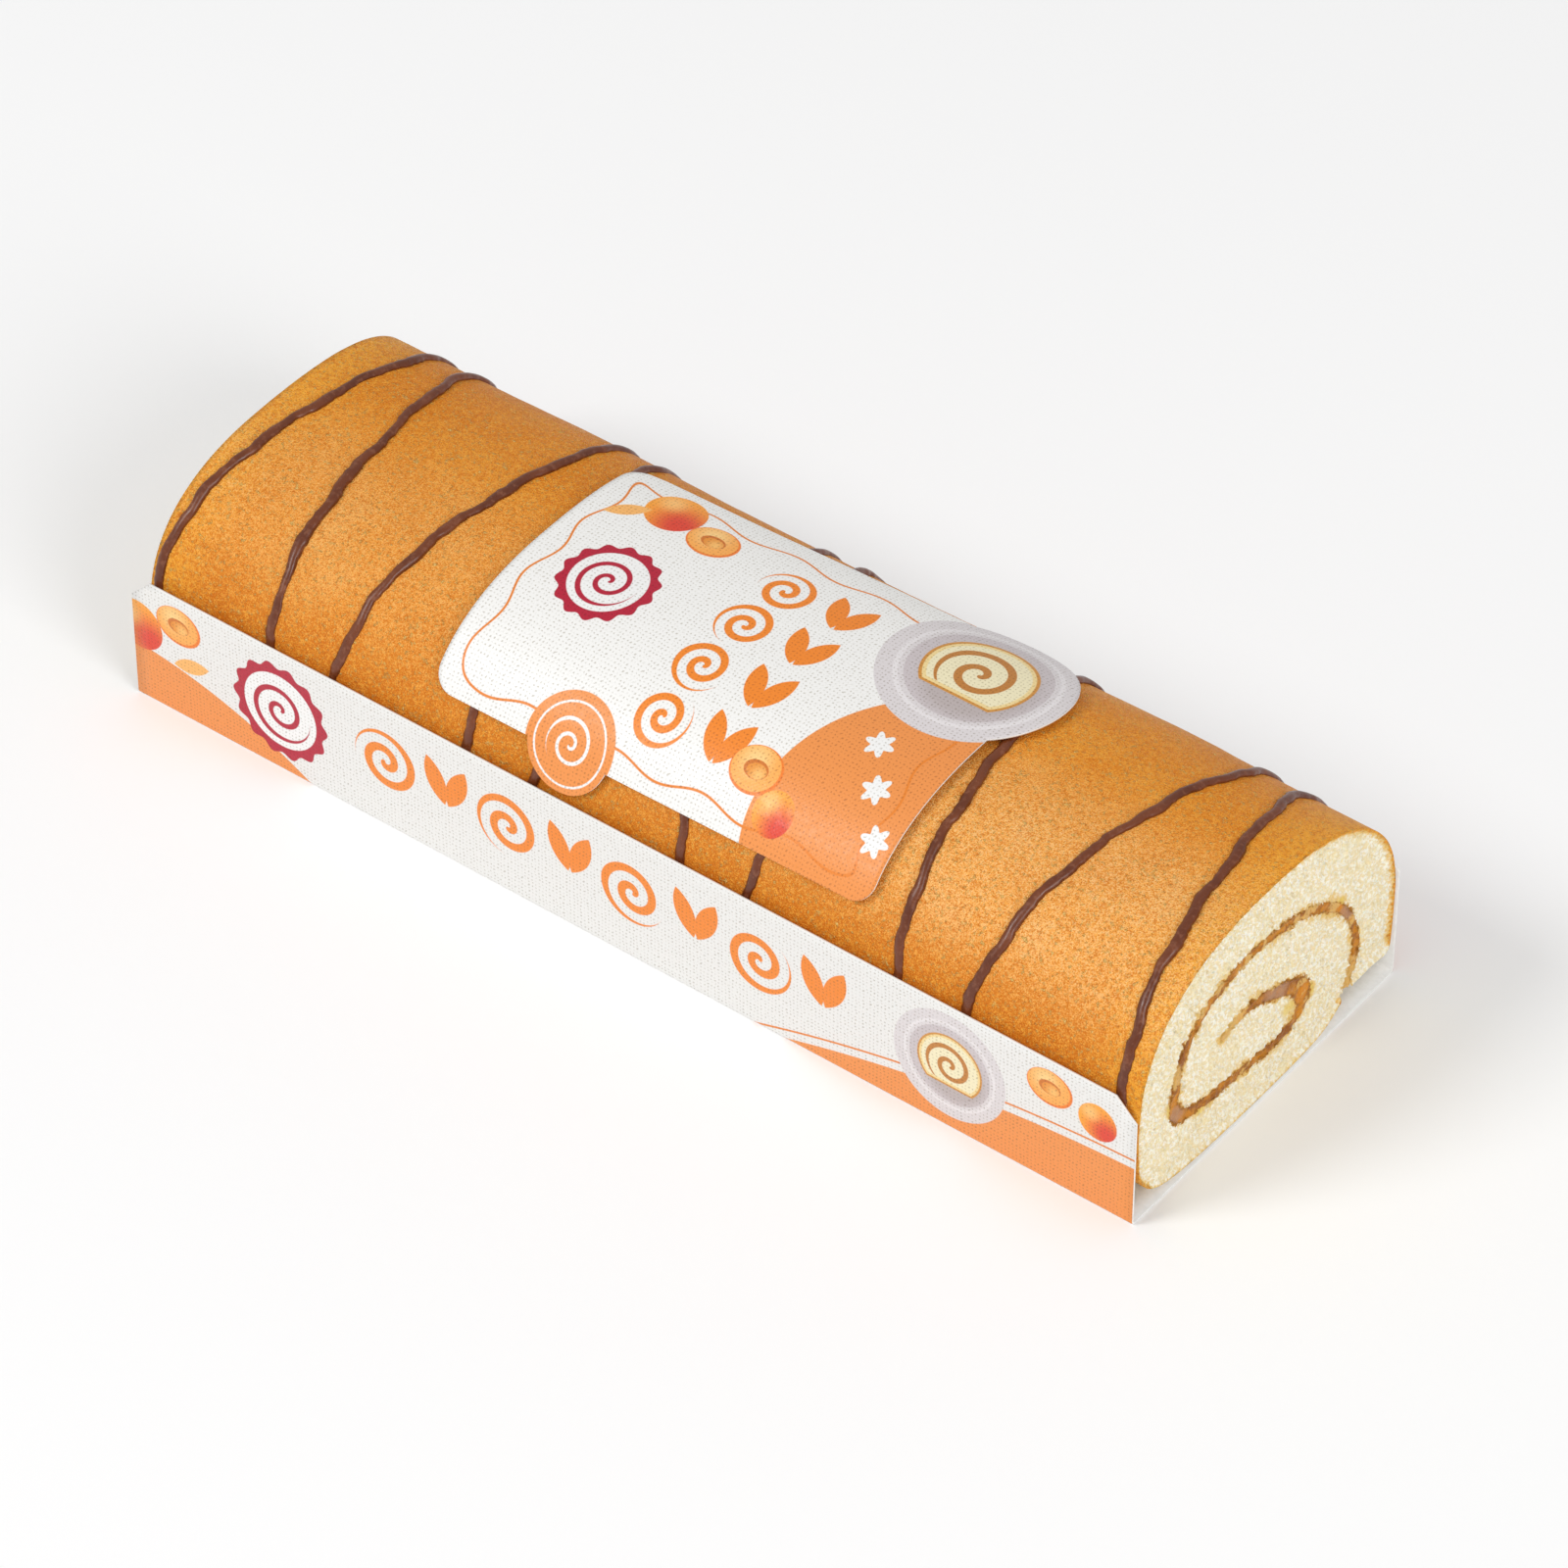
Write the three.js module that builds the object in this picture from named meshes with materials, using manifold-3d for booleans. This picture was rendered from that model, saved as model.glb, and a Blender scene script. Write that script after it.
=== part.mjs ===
// Swiss roll cake with a jam filling and chocolate drizzle, lying in an open card tray,
// with a die-cut card label wrapped over its top. Millimetres, +Z up.
// X runs along the roll, the pack's front faces -Y, and the origin is under the tray's middle.
import * as THREE from 'three';
import { mergeVertices } from 'three/addons/utils/BufferGeometryUtils.js';
import Module from 'manifold-3d';

// Tray: one folded sheet of card, open at both ends
const trayLength = 255;
const trayWidth = 90.1;
const trayWallHeight = 32.6;
const trayCornerCut = 5;
const boardThickness = 0.5;
const pieceGap = 0.3;

// Roll: its section is a flattened dome on a straight-sided base, measured from its own centre line
const rollLeft = -123.8;
const rollRight = 127.3;
const rollTopHeight = 57.6;
const rollLeftDrop = 4.0;
const rollCentreY = 0.35;
const rollFrontHalf = 44.0;
const rollBackHalf = 43.6;
const domeBase = 22;
const domeFrontPower = 2.5;
const domeBackPower = 2.3;
const domeSkew = -0.03;
// The back shoulder grows fuller from the right end, and fuller again over the left part:
// each share comes in over the blend's length, left of its start
const shoulderNormal = [0.757, 0.653];
const shoulderShares = [
  { extra: 1.0, start: rollRight, blend: 50 },
  { extra: 1.1, start: -20, blend: 60 },
];
const domeSteps = 36;
const sideFoot = domeBase - 8;
const rollStations = 7;
const rollBottom = boardThickness + pieceGap;

// Seam: the sheet's outer end stops short of the floor at the back
const seamInner = [26.2, 5.2];
const seamOuter = [29.7, 7.2];
const flapBottom = 6.8;
const flapCornerRadius = 1.6;
const flapInset = 0.5;
const flapStart = domeBase - 6;
const flapSteps = 3;
const bottomSteps = 22;

// Jam: a spiral from the seam to the heart of the roll
const jamHalf = 0.85;
const jamEndHalf = 0.5;
const jamTaper = 6;
const jamSteps = 62;
const jamOuterTurn = [
  [28.4, 7.4], [30, 10.5], [31.2, 15.5], [30.6, 21], [28, 27.5], [22.8, 33.6], [14.8, 38.8],
  [3.8, 42.2], [-7.2, 43.1], [-17.2, 41.6], [-25.2, 37], [-29.8, 30.5], [-30.9, 24],
];
const jamInnerTurn = [
  [-31.3, 20], [-28.6, 16.4], [-21.2, 14.3], [-9.2, 12.7], [2.8, 11.6], [9.4, 12.6], [12.8, 16],
  [11.4, 20.4], [5.8, 24.4], [-2.2, 27.7], [-9.2, 28.6], [-15.8, 27.2],
];
// Places where the jam pools, with the extra half thickness there and how far it reaches
const jamPools = [
  { y: -30.2, z: 18, extra: 0.8, reach: 4 },
  { y: 11.3, z: 18.5, extra: 1.7, reach: 4.5 },
  { y: 4.8, z: 25, extra: 0.5, reach: 6 },
];

// Drizzle: one zigzag line of chocolate, as the x of its turns past the front and back edges
const drizzleRadius = 1.4;
const drizzleSink = 0.25;
const drizzleSideSink = 0.8;
const drizzleSteps = 30;
const drizzleSides = 7;
const frontTurns = [-131.6, -83.3, -31.5, 22.5, 76.5, 130.7];
const backTurns = [-105.7, -56, -3, 52, 106.7];
const frontTurnHalf = 7.8;
const backTurnHalf = 5.3;
const drizzleReach = 58;
const drizzlePoints = 26;
const drizzleCrest = 31;
const drizzleSideStart = 34;
const drizzleSideBlend = 10;
const drizzleTip = 4;
const drizzleTipDive = 2;
const drizzleEndMargin = 2;
const drizzleForwardPower = 1;
const drizzleReturnPower = 1.4;
// Wavers of the line: how far it strays and its turn in radians for every millimetre
const slowWaver = { size: 0.32, rate: 0.31, phase: 1 };
const quickWaver = { size: 0.14, rate: 0.73, phase: 2.3 };
const phasePerTurn = 1.7;
const returnPhase = 0.9;

// Label: a rounded card with a badge over its front edge and a disc over its far corner.
// x along the roll, g the distance over the surface from the roll's top line, + to the back.
const labelThickness = 0.4;
const labelRise = 1.55;
const labelEdgeRise = 1.05;
const labelEdgeBlend = 14;
const labelLeft = -50;
const labelRight = 59.5;
const labelFront = -42.8;
const labelBackLeft = 27.4;
const labelBackRight = 31.8;
const labelCornerRadius = 5;
const labelBadge = { x: -15.6, g: -40.8, radius: 10 };
const labelDisc = { x: 46.3, g: 15, radius: 20.1 };
const labelColumns = 12;
const labelRows = 34;
const labelRowEasing = 0.45;
const labelTipInset = 0.15;
const labelFrontRows = [-0.05, 0.05, 0.6, 1.8];
const topLineY = -2.2;

// Colours and roughness of the pieces
const looks = {
  sponge: [0xd98f45, 0.85],
  jam: [0xb06a22, 0.35],
  label: [0xf4f1ea, 0.5],
  tray: [0xf2eee6, 0.55],
};
const weldDistance = 1e-4;

const lerp = (a, b, t) => a + (b - a) * t;
const clamp01 = (t) => Math.min(Math.max(t, 0), 1);
const smooth = (t) => clamp01(t) * clamp01(t) * (3 - 2 * clamp01(t));
const toVectors = (pairs) => pairs.map(([a, b]) => new THREE.Vector2(a, b));

// Height of the dome at x: the roll sinks a little towards its left end
function rollHeight(x) {
  const t = (x - rollLeft) / (rollRight - rollLeft);
  return rollTopHeight - rollLeftDrop * (1 - t) ** 2;
}

// How far the back shoulder stands out at x
function shoulderOut(x) {
  return shoulderShares.reduce((sum, part) => sum + part.extra * smooth((part.start - x) / part.blend), 0);
}

// Dome of the section at x, as [y, z] points from the front side to the back side
function domePoints(x) {
  const rise = rollHeight(x) - domeBase;
  const fuller = shoulderOut(x);
  const points = [];
  for (let i = 0; i <= domeSteps; i += 1) {
    const angle = Math.PI * (1 - i / domeSteps);
    const c = Math.cos(angle);
    const s = Math.sin(angle);
    const power = 2 / (c < 0 ? domeFrontPower : domeBackPower);
    const half = c < 0 ? rollFrontHalf : rollBackHalf;
    const across = Math.sign(c) * Math.abs(c) ** power;
    const y = half * (across + domeSkew * (1 - across * across));
    const out = c > 0 ? fuller * Math.sin(2 * angle) ** 2 : 0;
    const z = domeBase + rise * Math.abs(s) ** power;
    points.push([y + out * shoulderNormal[0], z + out * shoulderNormal[1]]);
  }
  return points;
}

// Underside of the roll, from the seam to the foot of the front side
function bottomPoints() {
  const curve = new THREE.SplineCurve(toVectors([
    seamInner, [19.8, rollBottom + 1.1], [8.8, rollBottom], [-13.2, rollBottom], [-30.2, rollBottom + 1.2],
    [-38.7, rollBottom + 4], [-42.8, rollBottom + 9.5], [-rollFrontHalf, domeBase - 3],
  ]));
  return curve.getSpacedPoints(bottomSteps).map((p) => [p.x, p.y]);
}

// Back side and the cut end of the outer turn, down to the seam
function flapPoints() {
  const foot = rollBackHalf - flapInset;
  const path = new THREE.Path();
  path.moveTo(rollBackHalf - flapInset / 5, flapStart);
  path.lineTo(foot, flapBottom + flapCornerRadius);
  path.quadraticCurveTo(foot, flapBottom, foot - flapCornerRadius, flapBottom);
  path.quadraticCurveTo(lerp(rollBackHalf, seamOuter[0], 0.5), flapBottom + 1, seamOuter[0], seamOuter[1]);
  return path.getPoints(flapSteps).map((p) => [p.x, p.y]);
}

// Outline of the roll's crust at x, from the seam's inner lip round to its outer lip
function crustOutline(x) {
  return [...bottomPoints(), ...domePoints(x), ...flapPoints()];
}

// Both sides of the jam spiral, grown by the given margin, as [y, z] points
function jamSides(margin) {
  const line = new THREE.SplineCurve(toVectors([...jamOuterTurn, ...jamInnerTurn]));
  const length = line.getLength();
  const left = [];
  const right = [];
  for (let i = 0; i <= jamSteps; i += 1) {
    const p = line.getPointAt(i / jamSteps);
    const t = line.getTangentAt(i / jamSteps);
    const pooled = jamPools.reduce((sum, pool) => (
      sum + pool.extra * Math.exp(-((Math.hypot(p.x - pool.y, p.y - pool.z) / pool.reach) ** 2))), 0);
    const toEnd = (1 - i / jamSteps) * length;
    const half = lerp(jamEndHalf, jamHalf + pooled, smooth(toEnd / jamTaper)) + margin;
    left.push([p.x - t.y * half, p.y + t.x * half]);
    right.push([p.x + t.y * half, p.y - t.x * half]);
  }
  return { left, right };
}

// The section leans with the dome's height: points above the dome's base are scaled with it
function fitToDome([y, z], x) {
  const scale = (rollHeight(x) - rollBottom) / (rollTopHeight - rollBottom);
  return [y, rollBottom + (z - rollBottom) * scale];
}

// Closed prism through the same number of [y, z] points at every station along the roll
function loftAlongRoll(sectionAt) {
  const rings = [];
  for (let i = 0; i <= rollStations; i += 1) {
    const x = lerp(rollLeft, rollRight, i / rollStations);
    rings.push(sectionAt(x).map(([y, z]) => [x, y, z]));
  }
  const count = rings[0].length;
  const flat = rings[0].map(([, y, z]) => new THREE.Vector2(y, z));
  const anticlockwise = THREE.ShapeUtils.area(flat) > 0;
  const index = [];
  const addTriangle = (a, b, c, forward) => index.push(a, forward ? b : c, forward ? c : b);
  for (let i = 0; i < rollStations; i += 1) {
    for (let j = 0; j < count; j += 1) {
      const a = i * count + j;
      const b = i * count + ((j + 1) % count);
      addTriangle(a, b, b + count, anticlockwise);
      addTriangle(a, b + count, a + count, anticlockwise);
    }
  }
  const last = rollStations * count;
  for (const [a, b, c] of THREE.ShapeUtils.triangulateShape(flat, [])) {
    const facing = THREE.ShapeUtils.area([flat[a], flat[b], flat[c]]) > 0;
    addTriangle(a, b, c, !facing);
    addTriangle(last + a, last + b, last + c, facing);
  }
  return indexedGeometry(rings.flat(2), index);
}

function indexedGeometry(positions, index) {
  const geometry = new THREE.BufferGeometry();
  geometry.setAttribute('position', new THREE.Float32BufferAttribute(positions, 3));
  geometry.setIndex(index);
  return geometry;
}

// The crust's surface at x as points with their distance g from the top line
function surfaceLine(x) {
  const points = [[-rollFrontHalf, sideFoot], ...domePoints(x), [rollBackHalf, sideFoot]];
  const distances = [0];
  for (let i = 1; i < points.length; i += 1) {
    const step = Math.hypot(points[i][0] - points[i - 1][0], points[i][1] - points[i - 1][1]);
    distances.push(distances[i - 1] + step);
  }
  const k = points.findIndex(([y]) => y > topLineY);
  const share = (topLineY - points[k - 1][0]) / (points[k][0] - points[k - 1][0]);
  const zero = lerp(distances[k - 1], distances[k], share);
  return { points, distances: distances.map((d) => d - zero) };
}

// Point on the crust at x and g, moved out by rise along the surface's normal
function onCrust(x, g, rise) {
  const { points, distances } = surfaceLine(x);
  let k = distances.findIndex((d) => d > g);
  if (k < 1) {
    k = k < 0 ? distances.length - 1 : 1;
  }
  const share = (g - distances[k - 1]) / (distances[k] - distances[k - 1]);
  const slope = (i) => {
    const a = points[Math.max(i - 1, 0)];
    const b = points[Math.min(i + 1, points.length - 1)];
    return Math.atan2(b[1] - a[1], b[0] - a[0]);
  };
  const angle = lerp(slope(k - 1), slope(k), share);
  const y = lerp(points[k - 1][0], points[k][0], share);
  const z = lerp(points[k - 1][1], points[k][1], share);
  return new THREE.Vector3(x, y - Math.sin(angle) * rise, z + Math.cos(angle) * rise);
}

function waverAt(g, phase) {
  const waves = [slowWaver, quickWaver];
  return waves.reduce((sum, wave) => sum + wave.size * Math.sin(g * wave.rate + wave.phase * phase), 0);
}

// Centre line of one run of drizzle, from the front side over the top to the back side.
// It wavers a little, lies deeper down the sides and dives into the crust at both ends.
function drizzlePath(frontX, backX, power, phase) {
  const points = [];
  for (let i = 0; i <= drizzlePoints; i += 1) {
    const g = lerp(-drizzleReach, drizzleReach, i / drizzlePoints);
    const climb = clamp01((g + drizzleReach) / (drizzleCrest + drizzleReach));
    const x = lerp(frontX, backX, climb ** power) + waverAt(g, phase);
    const kept = Math.min(Math.max(x, rollLeft + drizzleEndMargin), rollRight - drizzleEndMargin);
    const side = smooth((Math.abs(g) - drizzleSideStart) / drizzleSideBlend);
    const tip = clamp01((Math.abs(g) - drizzleReach) / drizzleTip + 1);
    const sink = lerp(drizzleSink, drizzleSideSink, side) + tip * drizzleTipDive;
    points.push(onCrust(kept, g, -sink));
  }
  return new THREE.CatmullRomCurve3(points);
}

function drizzleGeometry(path) {
  const ring = [];
  for (let i = 0; i < drizzleSides; i += 1) {
    const angle = (i / drizzleSides) * Math.PI * 2;
    ring.push([Math.cos(angle) * drizzleRadius, Math.sin(angle) * drizzleRadius]);
  }
  const section = new THREE.Shape(toVectors(ring));
  return new THREE.ExtrudeGeometry(section, { steps: drizzleSteps, extrudePath: path, bevelEnabled: false });
}

// Runs alternate: one climbs from a front turn to a back turn, the next comes down again
function drizzlePaths() {
  const paths = [];
  backTurns.forEach((back, i) => {
    const up = [frontTurns[i] + frontTurnHalf, back - backTurnHalf];
    const down = [frontTurns[i + 1] - frontTurnHalf, back + backTurnHalf];
    const phase = phasePerTurn * i;
    paths.push(drizzlePath(...up, drizzleForwardPower, phase));
    paths.push(drizzlePath(...down, drizzleReturnPower, phase + returnPhase));
  });
  return paths;
}

// The label's reach in x at distance g
function labelSpan(g) {
  const spans = [];
  if (g >= labelFront && g <= labelBackRight) {
    const inset = (gap) => {
      const d = clamp01(1 - gap / labelCornerRadius);
      return labelCornerRadius * (1 - Math.sqrt(1 - d * d));
    };
    const front = inset(g - labelFront);
    const slant = clamp01((g - labelBackLeft) / (labelBackRight - labelBackLeft));
    const corner = labelLeft + Math.max(front, inset(Math.max(labelBackLeft - g, 0)));
    const left = Math.max(corner, lerp(labelLeft, labelRight, slant));
    const right = labelRight - Math.max(front, inset(labelBackRight - g));
    if (right > left) {
      spans.push([left, right]);
    }
  }
  for (const round of [labelBadge, labelDisc]) {
    const half = Math.sqrt(Math.max(round.radius ** 2 - (g - round.g) ** 2, 0));
    if (half > 0) {
      spans.push([round.x - half, round.x + half]);
    }
  }
  return [Math.min(...spans.map((s) => s[0])), Math.max(...spans.map((s) => s[1]))];
}

// Rows of the label from its front tip to its back tip, closer together at the ends
function labelRowPlaces() {
  const first = labelBadge.g - labelBadge.radius + labelTipInset;
  const last = labelDisc.g + labelDisc.radius - labelTipInset;
  const places = new Set(labelFrontRows.map((step) => labelFront + step));
  for (let i = 0; i <= labelRows; i += 1) {
    const even = i / labelRows;
    places.add(lerp(first, last, lerp(even, smooth(even), labelRowEasing)));
  }
  return [...places].sort((a, b) => a - b);
}

function labelGeometry() {
  const rows = labelRowPlaces();
  const across = labelColumns + 1;
  const positions = [];
  for (const layer of [0, labelThickness]) {
    for (const g of rows) {
      const [x0, x1] = labelSpan(g);
      const toEdge = smooth((-g - drizzleSideStart) / labelEdgeBlend);
      const rise = lerp(labelRise, labelEdgeRise, toEdge) + layer;
      for (let j = 0; j < across; j += 1) {
        positions.push(...onCrust(lerp(x0, x1, j / labelColumns), g, rise).toArray());
      }
    }
  }
  const layerSize = rows.length * across;
  const index = [];
  for (let i = 0; i + 1 < rows.length; i += 1) {
    for (let j = 0; j < labelColumns; j += 1) {
      const a = i * across + j;
      const b = a + across;
      index.push(a, b, a + 1, a + 1, b, b + 1);
      index.push(layerSize + a, layerSize + a + 1, layerSize + b);
      index.push(layerSize + a + 1, layerSize + b + 1, layerSize + b);
    }
  }
  const lastRow = rows.length - 1;
  const rim = [];
  for (let j = 0; j < labelColumns; j += 1) {
    rim.push(j);
  }
  for (let i = 0; i < lastRow; i += 1) {
    rim.push(i * across + labelColumns);
  }
  for (let j = labelColumns; j > 0; j -= 1) {
    rim.push(lastRow * across + j);
  }
  for (let i = lastRow; i > 0; i -= 1) {
    rim.push(i * across);
  }
  rim.forEach((a, i) => {
    const b = rim[(i + 1) % rim.length];
    index.push(a, b, layerSize + b, a, layerSize + b, layerSize + a);
  });
  return indexedGeometry(positions, index);
}

// A side wall of the tray: a plate with its two upper corners cut off
function trayWall(innerY, outerY) {
  const half = trayLength / 2;
  const shape = new THREE.Shape(toVectors([
    [-half, 0], [half, 0], [half, trayWallHeight - trayCornerCut], [half - trayCornerCut, trayWallHeight],
    [-half + trayCornerCut, trayWallHeight], [-half, trayWallHeight - trayCornerCut],
  ]));
  const depth = Math.abs(outerY - innerY);
  const geometry = new THREE.ExtrudeGeometry(shape, { depth, bevelEnabled: false });
  geometry.rotateX(Math.PI / 2);
  geometry.translate(0, Math.max(innerY, outerY), 0);
  return geometry;
}

const wasm = await Module();
wasm.setup();

function toManifold(geometry) {
  const bare = geometry.clone();
  bare.deleteAttribute('normal');
  bare.deleteAttribute('uv');
  const merged = mergeVertices(bare, weldDistance);
  return new wasm.Manifold(new wasm.Mesh({
    numProp: 3,
    vertProperties: new Float32Array(merged.attributes.position.array),
    triVerts: new Uint32Array(merged.index.array),
  }));
}

function fromManifold(solid) {
  const { vertProperties, triVerts } = solid.getMesh();
  return indexedGeometry(Array.from(vertProperties), Array.from(triVerts));
}

function joinAll(geometries) {
  return fromManifold(geometries.map(toManifold).reduce((sum, next) => sum.add(next)));
}

function makePiece(name, geometry, [color, roughness]) {
  const material = new THREE.MeshStandardMaterial({ color, roughness, metalness: 0 });
  const mesh = new THREE.Mesh(geometry, material);
  mesh.name = name;
  return mesh;
}

// Sponge: the rolled sheet with the drizzle set on its crust
function spongeSection(x) {
  const { left, right } = jamSides(pieceGap);
  const slot = [...right.slice(1), ...left.slice(1).reverse()];
  return [...crustOutline(x), ...slot.map((p) => fitToDome(p, x))];
}

function jamSection(x) {
  const { left, right } = jamSides(0);
  return [...right, ...left.reverse()].map((p) => fitToDome(p, x));
}

const trayHalfWidth = trayWidth / 2;
const trayFloor = new THREE.BoxGeometry(trayLength, trayWidth, boardThickness);
trayFloor.translate(0, 0, boardThickness / 2);
const trayGeometry = joinAll([
  trayFloor,
  trayWall(-trayHalfWidth + boardThickness, -trayHalfWidth),
  trayWall(trayHalfWidth - boardThickness, trayHalfWidth),
]);
const spongeGeometry = joinAll([loftAlongRoll(spongeSection), ...drizzlePaths().map(drizzleGeometry)]);

// The roll lies a little behind the tray's middle, with its filling and label
const roll = new THREE.Group();
roll.position.set(0, rollCentreY, 0);
roll.add(makePiece('sponge', spongeGeometry, looks.sponge));
roll.add(makePiece('jam_filling', loftAlongRoll(jamSection), looks.jam));
roll.add(makePiece('label', labelGeometry(), looks.label));

const cake = new THREE.Group();
cake.add(roll);
cake.add(makePiece('tray', trayGeometry, looks.tray));

export default cake;
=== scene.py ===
import math
from bisect import bisect_right

import bmesh
import bpy
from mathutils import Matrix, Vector, kdtree, noise


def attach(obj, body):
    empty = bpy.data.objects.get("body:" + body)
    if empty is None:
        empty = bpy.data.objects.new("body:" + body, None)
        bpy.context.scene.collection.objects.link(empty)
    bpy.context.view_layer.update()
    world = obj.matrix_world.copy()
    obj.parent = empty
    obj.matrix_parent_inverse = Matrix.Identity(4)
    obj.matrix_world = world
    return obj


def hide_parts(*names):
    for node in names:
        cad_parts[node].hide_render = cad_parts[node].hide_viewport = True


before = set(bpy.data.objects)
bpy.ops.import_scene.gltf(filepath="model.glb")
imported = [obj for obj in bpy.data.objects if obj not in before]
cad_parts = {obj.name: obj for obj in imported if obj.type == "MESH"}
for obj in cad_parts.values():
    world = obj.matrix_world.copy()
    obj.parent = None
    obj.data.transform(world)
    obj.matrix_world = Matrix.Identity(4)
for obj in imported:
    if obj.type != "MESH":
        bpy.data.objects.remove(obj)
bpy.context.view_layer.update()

# Lengths are millimetres until a piece is finished, which brings it to metres
toMetres = 0.001
detail = 1.0

# x runs along the roll, the cut end is at right, and y is measured from the roll's own centre line
rollShape = {
    "left": -123.8, "right": 127.3, "centreY": 0.35, "bottom": 0.8,
    "topHeight": 57.6, "leftDrop": 4.0, "domeBase": 22.0, "domeSteps": 90,
    "frontHalf": 44.0, "backHalf": 43.6, "frontPower": 2.5, "backPower": 2.3, "skew": -0.03,
    "shoulderNormal": (0.757, 0.653),
    "shoulderShares": [(1.0, 127.3, 50), (1.1, -20, 60)],   # extra, start in x, blend
    "topLineY": -2.2,
    "seamInner": (26.2, 5.2), "seamOuter": (29.7, 7.2),
    "flapBottom": 6.8, "flapCorner": 1.6, "flapInset": 0.5,
    # y and the rise above the bottom
    "underside": [(19.8, 1.1), (8.8, 0), (-13.2, 0), (-30.2, 1.2), (-38.7, 4), (-42.8, 9.5)],
}

# The jam's spiral from the seam to the heart, in (y, z), and the places where it pools
jamShape = {
    "turns": [
        (28.4, 7.4), (30, 10.5), (31.2, 15.5), (30.6, 21), (28, 27.5), (22.8, 33.6), (14.8, 38.8),
        (3.8, 42.2), (-7.2, 43.1), (-17.2, 41.6), (-25.2, 37), (-29.8, 30.5), (-30.9, 24),
        (-31.3, 20), (-28.6, 16.4), (-21.2, 14.3), (-9.2, 12.7), (2.8, 11.6), (9.4, 12.6), (12.8, 16),
        (11.4, 20.4), (5.8, 24.4), (-2.2, 27.7), (-9.2, 28.6), (-15.8, 27.2),
    ],
    "pools": [(-30.2, 18, 0.8, 4), (11.3, 18.5, 1.7, 4.5), (4.8, 25, 0.5, 6)],   # y, z, extra half, reach
    "half": 0.85, "endHalf": 0.5, "taper": 6, "spacing": 1.2,
    "tails": [(-14, 27.5, 8), (28.8, 9, 6.5)],   # y, z and reach of the places where it runs thin
}


def lerp(a, b, t):
    return a + (b - a) * t


def clamp(t):
    return min(max(t, 0.0), 1.0)


def smooth(t):
    t = clamp(t)
    return t * t * (3 - 2 * t)


def noiseAt(x, y, z):
    return noise.noise(Vector((x, y, z)))


def resample(points, spacing):
    # the polyline as evenly spaced points, both ends kept
    lengths = [0.0]
    for a, b in zip(points, points[1:]):
        lengths.append(lengths[-1] + math.dist(a, b))
    count = max(2, round(lengths[-1] / spacing))
    out, k = [], 0
    for i in range(count + 1):
        at = lengths[-1] * i / count
        while k < len(lengths) - 2 and lengths[k + 1] < at:
            k += 1
        t = (at - lengths[k]) / max(lengths[k + 1] - lengths[k], 1e-9)
        out.append(tuple(lerp(p, q, t) for p, q in zip(points[k], points[k + 1])))
    return out


def curveAt(a, b, c, d, t):
    return 0.5 * (2 * b + (c - a) * t + (2 * a - 5 * b + 4 * c - d) * t * t
                  + (3 * b - a - 3 * c + d) * t ** 3)


def throughPoints(points, spacing, steps=16):
    # a smooth Catmull-Rom line through the points
    out = []
    for k in range(len(points) - 1):
        p0, p1 = points[max(k - 1, 0)], points[k]
        p2, p3 = points[k + 1], points[min(k + 2, len(points) - 1)]
        for i in range(steps):
            out.append(tuple(curveAt(*near, i / steps) for near in zip(p0, p1, p2, p3)))
    out.append(points[-1])
    return resample(out, spacing)


def rollHeight(x):
    t = (x - rollShape["left"]) / (rollShape["right"] - rollShape["left"])
    return rollShape["topHeight"] - rollShape["leftDrop"] * (1 - t) ** 2


def sunkHeight(x, z, base):
    # the height z of the right end, as it comes at x where the roll is lower
    return base + (z - base) * (rollHeight(x) - base) / (rollShape["topHeight"] - base)


def shoulderOut(x):
    # how much fuller the back shoulder is at x than at the right end
    return sum(extra * smooth((start - x) / blend) for extra, start, blend in rollShape["shoulderShares"])


def domeLine(x, steps):
    # the roll's top at x, from the front side to the back side
    height, fuller = rollHeight(x), shoulderOut(x)
    outY, outZ = rollShape["shoulderNormal"]
    points = []
    for i in range(steps + 1):
        angle = math.pi * (1 - i / steps)
        c, s = math.cos(angle), math.sin(angle)
        power = 2 / (rollShape["frontPower"] if c < 0 else rollShape["backPower"])
        half = rollShape["frontHalf"] if c < 0 else rollShape["backHalf"]
        across = math.copysign(abs(c) ** power, c)
        y = half * (across + rollShape["skew"] * (1 - across * across))
        out = fuller * math.sin(2 * angle) ** 2 if c > 0 else 0
        z = rollShape["domeBase"] + (height - rollShape["domeBase"]) * abs(s) ** power
        points.append((y + out * outY, z + out * outZ))
    return points


def undersideLine():
    r = rollShape
    low = [(y, r["bottom"] + rise) for y, rise in r["underside"]]
    return throughPoints([r["seamInner"]] + low + [(-r["frontHalf"], r["domeBase"] - 3)], 1.0)


def cornerTurn(steps=6):
    # how far in and down a rounded corner goes, as shares of its radius
    angles = [math.pi / 2 * i / steps for i in range(steps + 1)]
    return [(1 - math.cos(angle), 1 - math.sin(angle)) for angle in angles]


def flapLine():
    r = rollShape
    foot, low, corner = r["backHalf"] - r["flapInset"], r["flapBottom"], r["flapCorner"]
    points = [(r["backHalf"] - r["flapInset"] / 5, r["domeBase"] - 6)]
    points += [(foot - corner * inward, low + corner * up) for inward, up in cornerTurn()]
    middle = (lerp(r["backHalf"], r["seamOuter"][0], 0.5), low + 0.6)
    return points + [middle, r["seamOuter"]]


def rollOutline(spacing):
    line = undersideLine() + domeLine(rollShape["right"], rollShape["domeSteps"]) + flapLine()
    return resample(line, spacing)


lineCache = {}


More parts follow.
